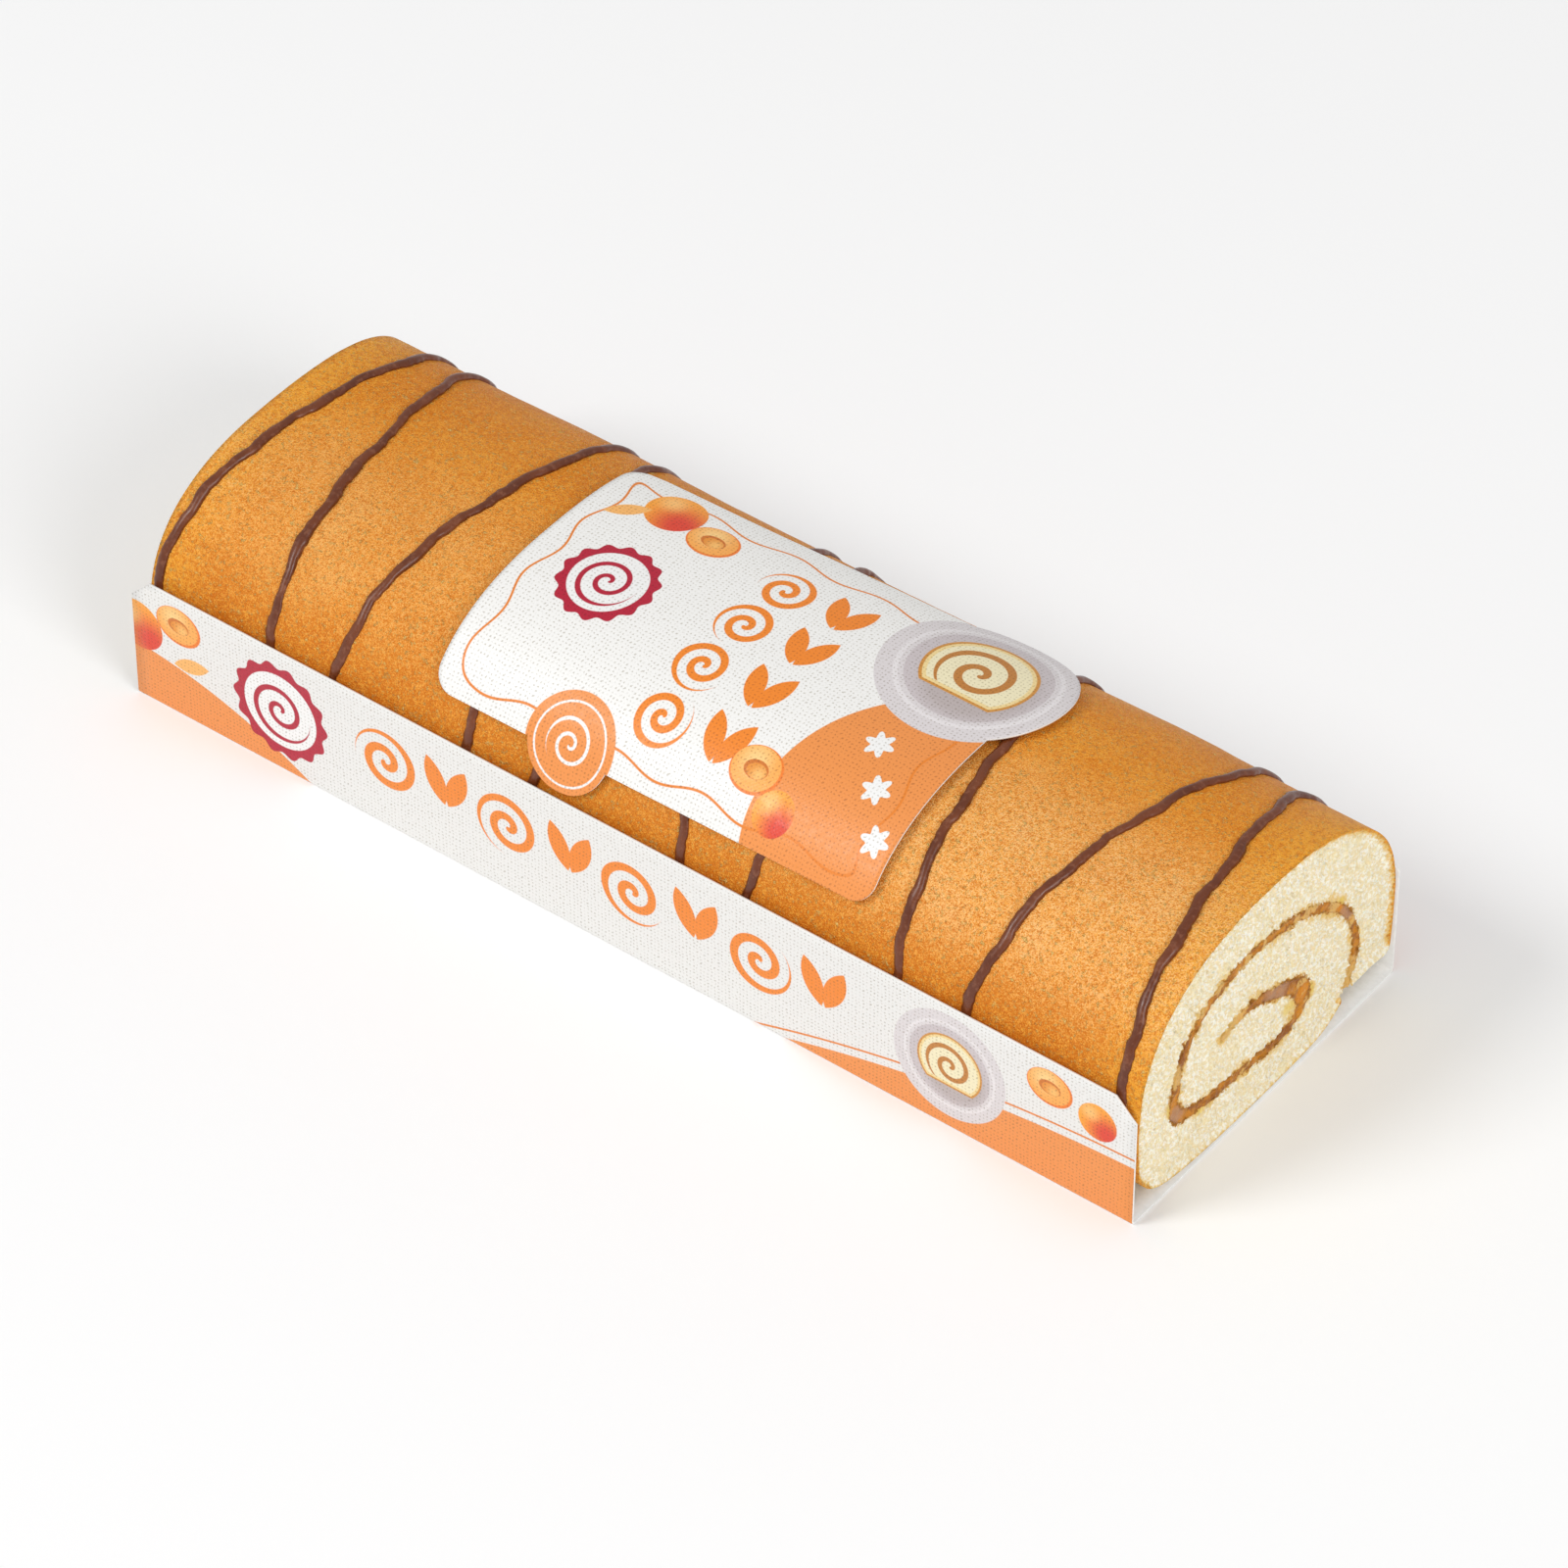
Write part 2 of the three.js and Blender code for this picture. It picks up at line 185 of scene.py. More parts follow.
def surfaceLine(x):
    # the crust at x as points, their distance g from the top line, and each point's slope
    key = round(x * 2)
    if key not in lineCache:
        foot = rollShape["domeBase"] - 8
        points = [(-rollShape["frontHalf"], foot)] + domeLine(x, 120) + [(rollShape["backHalf"], foot)]
        places = [0.0]
        for a, b in zip(points, points[1:]):
            places.append(places[-1] + math.dist(a, b))
        k = next(i for i, p in enumerate(points) if p[0] > rollShape["topLineY"])
        share = (rollShape["topLineY"] - points[k - 1][0]) / (points[k][0] - points[k - 1][0])
        zero = lerp(places[k - 1], places[k], share)
        slopes = []
        for i in range(len(points)):
            a, b = points[max(i - 1, 0)], points[min(i + 1, len(points) - 1)]
            slopes.append(math.atan2(b[1] - a[1], b[0] - a[0]))
        lineCache[key] = (points, [p - zero for p in places], slopes)
    return lineCache[key]


def onCrust(x, g, rise=0.0):
    # the place on the crust at x and g, lifted by the rise, and the crust's normal there
    points, places, slopes = surfaceLine(x)
    k = min(max(bisect_right(places, g), 1), len(places) - 1)
    t = (g - places[k - 1]) / (places[k] - places[k - 1])
    angle = lerp(slopes[k - 1], slopes[k], t)
    normal = Vector((0, -math.sin(angle), math.cos(angle)))
    y, z = (lerp(a, b, t) for a, b in zip(points[k - 1], points[k]))
    return Vector((x, y + rollShape["centreY"], z)) + normal * rise, normal


def jamSides(margin):
    # both edges of the jam in the cut, grown by the margin
    line = throughPoints(jamShape["turns"], jamShape["spacing"])
    spacing = math.dist(line[0], line[1])
    left, right = [], []
    for i, (y, z) in enumerate(line):
        a, b = line[max(i - 1, 0)], line[min(i + 1, len(line) - 1)]
        along = Vector((b[0] - a[0], b[1] - a[1])).normalized()
        pooled = sum(extra * math.exp(-(math.dist((y, z), (py, pz)) / reach) ** 2)
                     for py, pz, extra, reach in jamShape["pools"])
        toEnd = smooth((len(line) - 1 - i) * spacing / jamShape["taper"])
        half = lerp(jamShape["endHalf"], jamShape["half"] + pooled, toEnd) + margin
        left.append((y - along.y * half, z + along.x * half))
        right.append((y + along.y * half, z - along.x * half))
    return left, right


def nearSpots(y, z, spots, margin=1.3):
    # 1 beside the nearest of the (y, z, reach) spots, fading to 0
    return max(smooth(margin - math.dist((y, z), spot[:2]) / spot[2]) for spot in spots)


def nearTree(points):
    # finds the nearest of the (y, z) points
    tree = kdtree.KDTree(len(points))
    for i, (y, z) in enumerate(points):
        tree.insert((y, z, 0), i)
    tree.balance()
    return tree


def gridPiece(columns, rows, place):
    # an even sheet of faces, each vertex put where place(u, v) says
    bm = bmesh.new()
    made = bmesh.ops.create_grid(bm, x_segments=columns, y_segments=rows, size=0.5)
    for vert in made["verts"]:
        vert.co = place(vert.co.x + 0.5, vert.co.y + 0.5)
    return bm


def newLayers(bm, *names):
    # values kept at each vertex, which the finishes read by name
    for name in names:
        bm.verts.layers.float.new(name)
    return [bm.verts.layers.float[name] for name in names]


def addThing(name, data):
    thing = bpy.data.objects.new(name, data)
    bpy.context.scene.collection.objects.link(thing)
    return thing


def meshFrom(bm, name):
    mesh = bpy.data.meshes.new(name)
    bm.to_mesh(mesh)
    bm.free()
    return mesh


def finishPiece(bm, name, materials, slotName, *nodes):
    bmesh.ops.scale(bm, vec=(toMetres,) * 3, verts=bm.verts)
    mesh = meshFrom(bm, name)
    for face in mesh.polygons:
        face.use_smooth = True
    for material in materials:
        mesh.materials.append(material)
    piece = addThing(name, mesh)
    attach(piece, "root")
    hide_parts(*nodes)
    print("made", name, len(mesh.polygons), "faces")
    return piece


# Shader building

class NodeSheet:
    # a node tree with short calls for the nodes that the finishes use
    def __init__(self, tree):
        self.tree = tree

    def add(self, kind, **values):
        node = self.tree.nodes.new(kind)
        for key, value in values.items():
            setattr(node, key, value)
        return node

    def plug(self, socket, value):
        if isinstance(value, bpy.types.NodeSocket):
            self.tree.links.new(value, socket)
        else:
            socket.default_value = value

    def plugAll(self, node, values):
        for key, value in values.items():
            self.plug(node.inputs[key], value)

    def feed(self, node, *values):
        for socket, value in zip(node.inputs, values):
            self.plug(socket, value)
        return node.outputs[0]

    def math(self, operation, *values):
        return self.feed(self.add("ShaderNodeMath", operation=operation), *values)

    def plus(self, a, b):
        return self.math("ADD", a, b)

    def less(self, a, b):
        return self.math("SUBTRACT", a, b)

    def times(self, a, b):
        return self.math("MULTIPLY", a, b)

    def roughen(self, value, grains, reach):
        # the value, moved to and fro by the grains
        return self.plus(value, self.math("MULTIPLY_ADD", grains, reach, -reach / 2))

    def span(self, value, low, high, outLow=0.0, outHigh=1.0):
        node = self.add("ShaderNodeMapRange", interpolation_type="SMOOTHSTEP")
        return self.feed(node, value, low, high, outLow, outHigh)

    def mix(self, share, a, b, blend="MIX"):
        node = self.add("ShaderNodeMix", data_type="RGBA", blend_type=blend)
        for key, value in (("Factor", share), ("A", a), ("B", b)):
            found = [s for s in node.inputs if s.name == key and s.enabled]
            self.plug(found[0], (*value, 1) if isinstance(value, tuple) else value)
        return next(s for s in node.outputs if s.enabled)

    def tint(self, colour, finish, *tints):
        # inks over the colour, each up to its share as its value goes from low to high
        for ink, share, value, low, high in tints:
            colour = self.mix(self.span(value, low, high, 0.0, share), colour, finish[ink])
        return colour

    def noise(self, where, scale, detail=2.0, roughness=0.5, distortion=0.0):
        node = self.add("ShaderNodeTexNoise")
        self.plugAll(node, {"Vector": where, "Scale": scale, "Detail": detail,
                            "Roughness": roughness, "Distortion": distortion})
        return node.outputs[0]

    def axes(self, where):
        node = self.add("ShaderNodeSeparateXYZ")
        self.plug(node.inputs[0], where)
        return node.outputs[:]

    def inMillimetres(self):
        mapping = self.add("ShaderNodeMapping")
        self.plugAll(mapping, {"Vector": self.add("ShaderNodeTexCoord").outputs["Object"],
                               "Scale": (1 / toMetres,) * 3})
        return mapping.outputs[0]

    def attribute(self, name):
        return self.add("ShaderNodeAttribute", attribute_name=name).outputs["Fac"]

    def bump(self, height, strength, distance):
        node = self.add("ShaderNodeBump")
        self.plugAll(node, {"Height": height, "Strength": strength, "Distance": distance * toMetres})
        return node.outputs[0]

    def group(self, tree, **values):
        node = self.add("ShaderNodeGroup", node_tree=tree)
        self.plugAll(node, values)
        return node.outputs


def newGroup(name, values, results):
    # a group that reads a place and the named values
    tree = bpy.data.node_groups.new(name, "ShaderNodeTree")
    tree.interface.new_socket("Place", in_out="INPUT", socket_type="NodeSocketVector")
    for label, value in values.items():
        socket = tree.interface.new_socket(label, in_out="INPUT", socket_type="NodeSocketFloat")
        socket.default_value = value
    for label in results:
        tree.interface.new_socket(label, in_out="OUTPUT", socket_type="NodeSocketFloat")
    sheet = NodeSheet(tree)
    return sheet, sheet.add("NodeGroupInput").outputs, sheet.add("NodeGroupOutput")


def makeGrainGroup():
    # broad patches, fine grain and a height from both, for baked and set foods
    values = {"Patch": 0.05, "Grain": 1.5}
    sheet, given, result = newGroup("foodGrain", values, ("Patches", "Grains", "Height"))
    patches = sheet.noise(given["Place"], given["Patch"], 3.0, 0.55, 0.3)
    grains = sheet.noise(given["Place"], given["Grain"], 3.0, 0.62)
    pores = sheet.add("ShaderNodeTexVoronoi")
    sheet.plugAll(pores, {"Vector": given["Place"], "Scale": given["Grain"]})
    height = sheet.plus(sheet.times(grains, 0.7), sheet.times(pores.outputs["Distance"], 0.5))
    sheet.plugAll(result, {"Patches": patches, "Grains": grains, "Height": height})
    return sheet.tree


def makeCardGroup():
    # the fine linen weave printed and embossed in the card
    sheet, given, result = newGroup("cardWeave", {"Pitch": 0.9}, ("Shade", "Height"))
    where = given["Place"]
    rate = sheet.math("DIVIDE", 2 * math.pi, given["Pitch"])
    stray = sheet.times(sheet.noise(where, 0.7), 1.1)
    warp, weft = (sheet.math("SINE", sheet.times(sheet.plus(along, stray), rate))
                  for along in sheet.axes(where)[:2])
    dots = sheet.times(sheet.span(warp, -0.2, 0.8), sheet.span(weft, -0.2, 0.8))
    worn = sheet.span(sheet.noise(where, 0.9, 3.0), 0.40, 0.56, 0.25, 1.0)
    sheet.plugAll(result, {"Shade": sheet.times(dots, worn), "Height": sheet.times(warp, weft)})
    return sheet.tree


def makeFadeGroup():
    # where the line of jam runs thin: at its tails and in places between them
    sheet, given, result = newGroup("jamFade", {"Tail": 0.0, "Grain": 0.5}, ("Fade",))
    broken = sheet.span(sheet.noise(given["Place"], 0.17), 0.50, 0.64, 0.0, 0.75)
    fade = sheet.math("MAXIMUM", broken, sheet.times(given["Tail"], 0.9))
    speckled = sheet.roughen(fade, given["Grain"], 1.6)
    sheet.plugAll(result, {"Fade": sheet.span(speckled, 0.3, 0.8)})
    return sheet.tree


grainGroup = makeGrainGroup()
cardGroup = makeCardGroup()
fadeGroup = makeFadeGroup()


def newMaterial(name):
    material = bpy.data.materials.new(name)
    material.use_nodes = True
    material.node_tree.nodes.clear()
    sheet = NodeSheet(material.node_tree)
    shader = sheet.add("ShaderNodeBsdfPrincipled")
    sheet.plugAll(sheet.add("ShaderNodeOutputMaterial"), {"Surface": shader.outputs[0]})
    return material, sheet, shader


def dress(sheet, shader, colour, roughness, normal):
    sheet.plugAll(shader, {"Base Color": colour, "Roughness": roughness, "Normal": normal})


def soften(shader, finish):
    # light goes a little way into the food
    shader.inputs["Subsurface Weight"].default_value = finish["soft"]
    shader.inputs["Subsurface Radius"].default_value = finish["softReach"]
    shader.inputs["Subsurface Scale"].default_value = toMetres
    shader.inputs["Specular IOR Level"].default_value = finish["specular"]


spongeFinish = {
    # Painted light among these colours: a painted sheen in the paler and the brightest crust colours,
    # painted shade along with real browning in the dark crust colour, and painted shade in the crumb's
    # hollows in the deepest crumb colour
    "crust": (0.79, 0.268, 0.017), "paintedSheenCrust": (0.93, 0.42, 0.085), "crustBrownAndShade": (0.60, 0.160, 0.008),
    "crustLight": (0.90, 0.41, 0.055), "paintedSheenFleck": (0.98, 0.58, 0.24),
    "nearCut": (0.92, 0.42, 0.035), "golden": (0.84, 0.54, 0.16),
    "crumb": (0.89, 0.755, 0.485), "crumbLight": (0.98, 0.93, 0.79),
    "crumbWarm": (0.91, 0.765, 0.44), "crumbHollowShade": (0.86, 0.68, 0.37),
    "jamYellow": (0.80, 0.50, 0.11), "soaked": (0.84, 0.60, 0.13),
    "jamAmber": (0.50, 0.20, 0.03), "jamBrown": (0.22, 0.075, 0.012),
    "roughness": (0.95, 0.48),   # crumb and crust
    "soft": 0.18, "softReach": (1.0, 0.75, 0.45), "specular": 0.15,
}


def mixCrust(sheet, where, grain):
    # a painted sheen along the front of the crest, painted shade behind the crest, stronger to the left, and
    # darker down the sides, where painted shade lies over real browning
    x, y, z = sheet.axes(where)
    fleck, patches, grains = sheet.noise(where, 0.9, 5.0, 0.72), grain["Patches"], grain["Grains"]
    # the painted sheen: high on the front of the crest, more towards the cut end
    pale = sheet.times(sheet.span(x, -60.0, 80.0, 0.5, 1.0), sheet.span(z, 34.0, 51.0))
    pale = sheet.times(pale, sheet.span(y, 10.0, -18.0))
    finish = dict(spongeFinish)
    # light flecks and patches take the painted sheen's brighter colour where the sheen lies
    finish["light"] = sheet.mix(pale, finish["crustLight"], finish["paintedSheenFleck"])
    crust = sheet.mix(pale, finish["crust"], finish["paintedSheenCrust"])
    # lighter and darker random patches, then darker low down the sides: painted shade from the tray and the
    # light from above, over some real browning
    crust = sheet.tint(
        crust, finish, ("light", 0.4, patches, 0.48, 0.70), ("crustBrownAndShade", 0.3, patches, 0.46, 0.25),
        ("crustBrownAndShade", 0.8, z, 50.0, 32.0))
    # painted shade behind the crest, stronger towards the left end
    behind = sheet.times(sheet.span(y, 0.0, 16.0), sheet.span(x, -60.0, 80.0, 0.45, 0.10))
    crust = sheet.mix(behind, crust, finish["crustBrownAndShade"])
    nearCut = sheet.span(sheet.attribute("endAway"), 18.0, 0.0)
    nearCut = sheet.times(nearCut, sheet.span(fleck, 0.42, 0.56, 0.3, 0.9))
    crust = sheet.mix(nearCut, crust, finish["nearCut"])
    return sheet.tint(
        crust, finish, ("light", 0.6, fleck, 0.5, 0.64), ("crustBrownAndShade", 0.55, fleck, 0.5, 0.36),
        ("light", 0.7, grains, 0.52, 0.62), ("crustBrownAndShade", 0.7, grains, 0.48, 0.38))


def mixCrumb(sheet, loose):
    finish, grains = spongeFinish, loose["Grains"]
    crumb = sheet.mix(sheet.span(grains, 0.46, 0.57), finish["crumb"], finish["crumbLight"])
    # painted shade in the crumb's hollows: darker where the cut crumb lies deepest behind the knife's plane
    low = sheet.roughen(sheet.attribute("crumbLow"), grains, -0.9)
    return sheet.tint(
        crumb, finish, ("crumbWarm", 0.6, grains, 0.46, 0.32),
        ("crumbWarm", 0.7, loose["Patches"], 0.52, 0.74), ("crumbHollowShade", 0.45, low, 0.55, 1.35))


def stainWithJam(sheet, where, grains, colour):
    # the crumb beside the jam: yellow where it soaks in, amber and brown at the edge
    finish = spongeFinish
    soak = sheet.span(sheet.noise(where, 0.16), 0.42, 0.68)
    stain = sheet.roughen(sheet.attribute("jamDepth"), grains, 2.4)
    stain = sheet.roughen(stain, sheet.noise(where, 0.22), 1.8)
    yellow = sheet.math("DIVIDE", stain, sheet.math("MULTIPLY_ADD", soak, 2.6, 0.8))
    pooled = sheet.roughen(sheet.attribute("soaked"), grains, 1.4)
    colour = sheet.tint(
        colour, finish, ("jamYellow", 0.8, yellow, 1.0, 0.2), ("soaked", 0.8, pooled, 0.35, 1.1))
    fade = sheet.group(fadeGroup, Place=where, Tail=sheet.attribute("tail"), Grain=grains)["Fade"]
    amber = sheet.times(sheet.span(stain, 0.85, 0.1), sheet.span(fade, 0.0, 1.0, 0.9, 0.35))
    brown = sheet.times(sheet.span(stain, 0.45, -0.1), sheet.span(fade, 0.0, 1.0, 0.5, 0.05))
    return sheet.mix(brown, sheet.mix(amber, colour, finish["jamAmber"]), finish["jamBrown"])


def makeSpongeMaterial():
    material, sheet, shader = newMaterial("bakedSponge")
    where = sheet.inMillimetres()
    grain = sheet.group(grainGroup, Place=where, Patch=0.05, Grain=2.9)
    loose = sheet.group(grainGroup, Place=where, Patch=0.14, Grain=1.25)
    skin = sheet.roughen(sheet.attribute("crustDepth"), loose["Grains"], 2.4)
    colour = sheet.mix(sheet.span(skin, 1.9, 0.5), mixCrumb(sheet, loose), spongeFinish["golden"])
    crustMask = sheet.span(skin, 0.65, 0.2)
    colour = sheet.mix(crustMask, colour, mixCrust(sheet, where, grain))
    colour = stainWithJam(sheet, where, loose["Grains"], colour)
    roughness = sheet.span(crustMask, 0.0, 1.0, *spongeFinish["roughness"])
    relief = sheet.mix(crustMask, sheet.times(loose["Height"], 1.35), sheet.times(grain["Height"], 0.6))
    dress(sheet, shader, colour, roughness, sheet.bump(relief, 1.0, 0.45))
    soften(shader, spongeFinish)
    return material


jamFinish = {
    # The skin colour is a painted sheen, a reflection on the glossy jam where it pools
    "dark": (0.30, 0.090, 0.005), "amber": (0.60, 0.225, 0.010), "skin": (0.47, 0.25, 0.14),
    "rimDark": (0.22, 0.070, 0.006), "rimPale": (0.74, 0.40, 0.08),
    "clear": (0.68, 0.245, 0.010), "thin": (0.76, 0.46, 0.13), "roughness": (0.30, 0.55),
    "soft": 0.1, "softReach": (1.0, 0.4, 0.1), "specular": 0.25,
}


def makeJamMaterial():
    finish = jamFinish
    material, sheet, shader = newMaterial("apricotJam")
    where = sheet.inMillimetres()
    grain = sheet.group(grainGroup, Place=where, Patch=0.22, Grain=1.4)
    grains = grain["Grains"]
    colour = sheet.mix(sheet.span(grain["Patches"], 0.38, 0.60), finish["dark"], finish["amber"])
    # a painted sheen where the jam pools, standing in for its reflection
    skin = sheet.roughen(sheet.attribute("pooled"), grains, 1.2)
    colour = sheet.tint(colour, finish, ("skin", 0.75, skin, 0.5, 1.0))
    rim = sheet.roughen(sheet.attribute("rimAway"), grains, 2.4)
    shaded = sheet.span(sheet.noise(where, 0.42), 0.40, 0.58, 0.15, 0.85)
    colour = sheet.mix(sheet.times(sheet.span(rim, 0.6, -0.1), shaded), colour, finish["rimDark"])
    clear = sheet.roughen(sheet.attribute("clear"), grains, 0.8)
    colour = sheet.tint(
        colour, finish, ("rimPale", 0.8, rim, 0.15, -0.35), ("clear", 0.9, clear, 0.3, 0.9))
    fade = sheet.group(fadeGroup, Place=where, Tail=sheet.attribute("tail"), Grain=grains)["Fade"]
    colour = sheet.mix(sheet.times(fade, 0.85), colour, finish["thin"])
    roughness = sheet.span(grains, 0.3, 0.7, *finish["roughness"])
    dress(sheet, shader, colour, roughness, sheet.bump(grain["Height"], 0.8, 0.5))
    soften(shader, finish)
    return material


chocolateFinish = {
    "dark": (0.105, 0.020, 0.003), "light": (0.165, 0.038, 0.008), "bloom": (0.27, 0.10, 0.05),
    "roughness": (0.27, 0.42),
}


def makeChocolateMaterial():
    finish = chocolateFinish
    material, sheet, shader = newMaterial("milkChocolate")
    grain = sheet.group(grainGroup, Place=sheet.inMillimetres(), Patch=0.12, Grain=0.8)
    colour = sheet.mix(sheet.span(grain["Patches"], 0.3, 0.7), finish["dark"], finish["light"])
    colour = sheet.tint(colour, finish, ("bloom", 0.45, grain["Grains"], 0.5, 0.68))
    roughness = sheet.span(grain["Grains"], 0.3, 0.7, *finish["roughness"])
    dress(sheet, shader, colour, roughness, sheet.bump(grain["Height"], 0.25, 0.2))
    return material


printInk = {
    "paper": (0.80, 0.79, 0.765), "labelPaper": (0.87, 0.86, 0.835), "weave": (0.60, 0.57, 0.52),
    "white": (0.87, 0.865, 0.85), "field": (0.83, 0.285, 0.065), "strong": (0.86, 0.235, 0.015),
    "line": (0.78, 0.22, 0.02), "red": (0.45, 0.004, 0.030), "leaf": (0.92, 0.46, 0.13),
    "plate": (0.58, 0.52, 0.53), "plateRim": (0.70, 0.655, 0.66), "plateLine": (0.78, 0.74, 0.745),
    "shade": (0.36, 0.29, 0.26), "crust": (0.62, 0.27, 0.04), "golden": (0.86, 0.66, 0.30),
    "cream": (0.86, 0.78, 0.52), "jam": (0.52, 0.20, 0.03),
    "orange": (0.95, 0.36, 0.03), "blush": (0.72, 0.05, 0.02), "shine": (0.97, 0.52, 0.16),
    "halfSkin": (0.85, 0.20, 0.015), "flesh": (0.93, 0.40, 0.08), "fleshPale": (0.96, 0.62, 0.24),
    "hollow": (0.62, 0.17, 0.015), "pit": (0.78, 0.28, 0.03), "pitPale": (0.93, 0.50, 0.14),
}


class Print(NodeSheet):
    # shapes as masks from a flat place in millimetres, and the colour of what is printed so far
    def __init__(self, tree, place, paper):
        super().__init__(tree)
        self.x, self.y = place
        self.colour = printInk[paper]
        self.edge = 0.12   # how softly a printed shape ends

    def lay(self, mask, ink):
        self.colour = self.mix(mask, self.colour, printInk[ink] if isinstance(ink, str) else ink)

    def blend(self, mask, first, second):
        return self.mix(mask, printInk[first], printInk[second])

    def apart(self, x, y, wideX=1.0, wideY=1.0):
        dx = self.math("DIVIDE", self.less(self.x, x), wideX)
        dy = self.math("DIVIDE", self.less(self.y, y), wideY)
        return self.math("SQRT", self.math("MULTIPLY_ADD", dx, dx, self.times(dy, dy))), dx, dy

    def inside(self, distance):
        return self.span(distance, self.edge, -self.edge)

    def near(self, distance, reach):
        return self.inside(self.less(distance, reach))

    def disc(self, x, y, radius, wideX=1.0, wideY=1.0):
        return self.near(self.apart(x, y, wideX, wideY)[0], radius)

    def ring(self, x, y, radius, width):
        return self.near(self.math("ABSOLUTE", self.less(self.apart(x, y)[0], radius)), width / 2)

    def leaf(self, x, y, length, width, angle):
        # where two equal discs cross
        radius = (length * length / 4 + width * width / 4) / width
        away = radius - width / 2
        ox, oy = -math.sin(angle) * away, math.cos(angle) * away
        first, second = (self.less(self.apart(x + side * ox, y + side * oy)[0], radius) for side in (1, -1))
        return self.inside(self.math("MAXIMUM", first, second))

    def rosette(self, x, y, radius, petals, depth):
        away, dx, dy = self.apart(x, y)
        wave = self.math("COSINE", self.times(self.math("ARCTAN2", dy, dx), petals))
        return self.near(away, self.math("MULTIPLY_ADD", wave, depth, radius))

    def spiral(self, x, y, radius, pitch, width, turn=0.0):
        away, dx, dy = self.apart(x, y)
        angle = self.math("DIVIDE", self.math("ARCTAN2", dy, dx), 2 * math.pi)
        turned = self.plus(self.less(self.math("DIVIDE", away, pitch), angle), turn + 4.0)
        off = self.times(self.math("ABSOLUTE", self.less(self.math("FRACT", turned), 0.5)), pitch)
        return self.times(self.near(off, width / 2), self.near(away, radius))

    def wavyFrame(self, x, y, halfX, halfY, width, wave=1.1, corner=4.0):
        # a thin waving line round a box
        over = []
        for along, other, rate, middle, half in (
                (self.x, self.y, 0.34, x, halfX), (self.y, self.x, 0.29, y, halfY)):
            wavy = self.plus(along, self.times(self.math("SINE", self.times(other, rate)), wave))
            over.append(self.less(self.math("ABSOLUTE", self.less(wavy, middle)), half))
        return self.near(self.math("ABSOLUTE", self.math("SMOOTH_MAX", *over, corner)), width / 2)

    def glow(self, x, y, inner, outer):
        # 1 at a point, fading to 0
        return self.span(self.apart(x, y)[0], outer, inner)


def paintSlice(page, x, y, radius):
    # a round slice of roll with a flat foot: baked rim, pale crumb and a jam spiral
    away, _, dy = page.apart(x, y)
    foot = page.less(page.times(dy, -1.0), radius * 0.72)
    shade = page.glow(x + radius * 0.12, y - radius * 0.16, radius * 0.8, radius * 1.15)
    page.lay(page.times(shade, 0.45), "shade")
    for inset, ink in ((0.0, "crust"), (0.06, "golden"), (0.13, "cream")):
        rim = page.math("MAXIMUM", page.less(away, radius * (1 - inset)), page.plus(foot, radius * inset))
        page.lay(page.inside(rim), ink)
    turn = page.spiral(x, y - radius * 0.02, radius * 0.74, radius * 0.42, radius * 0.15, 0.3)
    page.lay(page.times(turn, page.inside(page.plus(foot, radius * 0.14))), "jam")


def paintApricotHalf(page, x, y, radius):
    # a halved fruit: skin, flesh and the hollow of its stone
    page.lay(page.disc(x, y, radius, 1.1, 0.92), "halfSkin")
    light = page.glow(x - radius * 0.2, y + radius * 0.3, 0, radius)
    inner = page.disc(x - radius * 0.04, y + radius * 0.04, radius * 0.92, 1.1, 0.92)
    page.lay(inner, page.blend(light, "flesh", "fleshPale"))
    page.lay(page.disc(x, y, radius * 0.42, 1.25, 0.85), "hollow")
    light = page.glow(x + radius * 0.2, y - radius * 0.15, 0, radius * 0.5)
    pit = page.disc(x + radius * 0.05, y - radius * 0.05, radius * 0.34, 1.25, 0.85)
    page.lay(pit, page.blend(light, "pit", "pitPale"))


def paintApricot(page, x, y, radius):
    # a whole fruit, red on its sunny side
    sunny = page.glow(x + radius * 0.5, y - radius * 0.5, radius * 0.2, radius * 1.5)
    light = page.glow(x - radius * 0.4, y + radius * 0.4, 0, radius * 0.7)
    fruit = page.mix(light, page.blend(sunny, "orange", "blush"), printInk["shine"])
    page.lay(page.disc(x, y, radius), fruit)


def paintMedallion(page, x, y, radius):
    page.lay(page.rosette(x, y, radius, 14, radius * 0.05), "red")
    page.lay(page.disc(x, y, radius * 0.80), "white")
    page.lay(page.spiral(x, y, radius * 0.66, radius * 0.34, radius * 0.11, 0.4), "red")


def paintPlate(page, x, y, radius):
    page.lay(page.disc(x, y, radius), "plateRim")
    page.lay(page.ring(x, y, radius * 0.80, radius * 0.05), "plateLine")
    page.lay(page.disc(x, y, radius * 0.72), "plate")
    paintSlice(page, x, y, radius * 0.58)


def paintBadge(page, x, y, radius):
    page.lay(page.disc(x, y, radius + 0.6), "field")
    page.lay(page.ring(x, y, radius - 1.6, 0.45), "white")
    page.lay(page.spiral(x, y, 5.6, 3.0, 0.75, 0.1), "white")


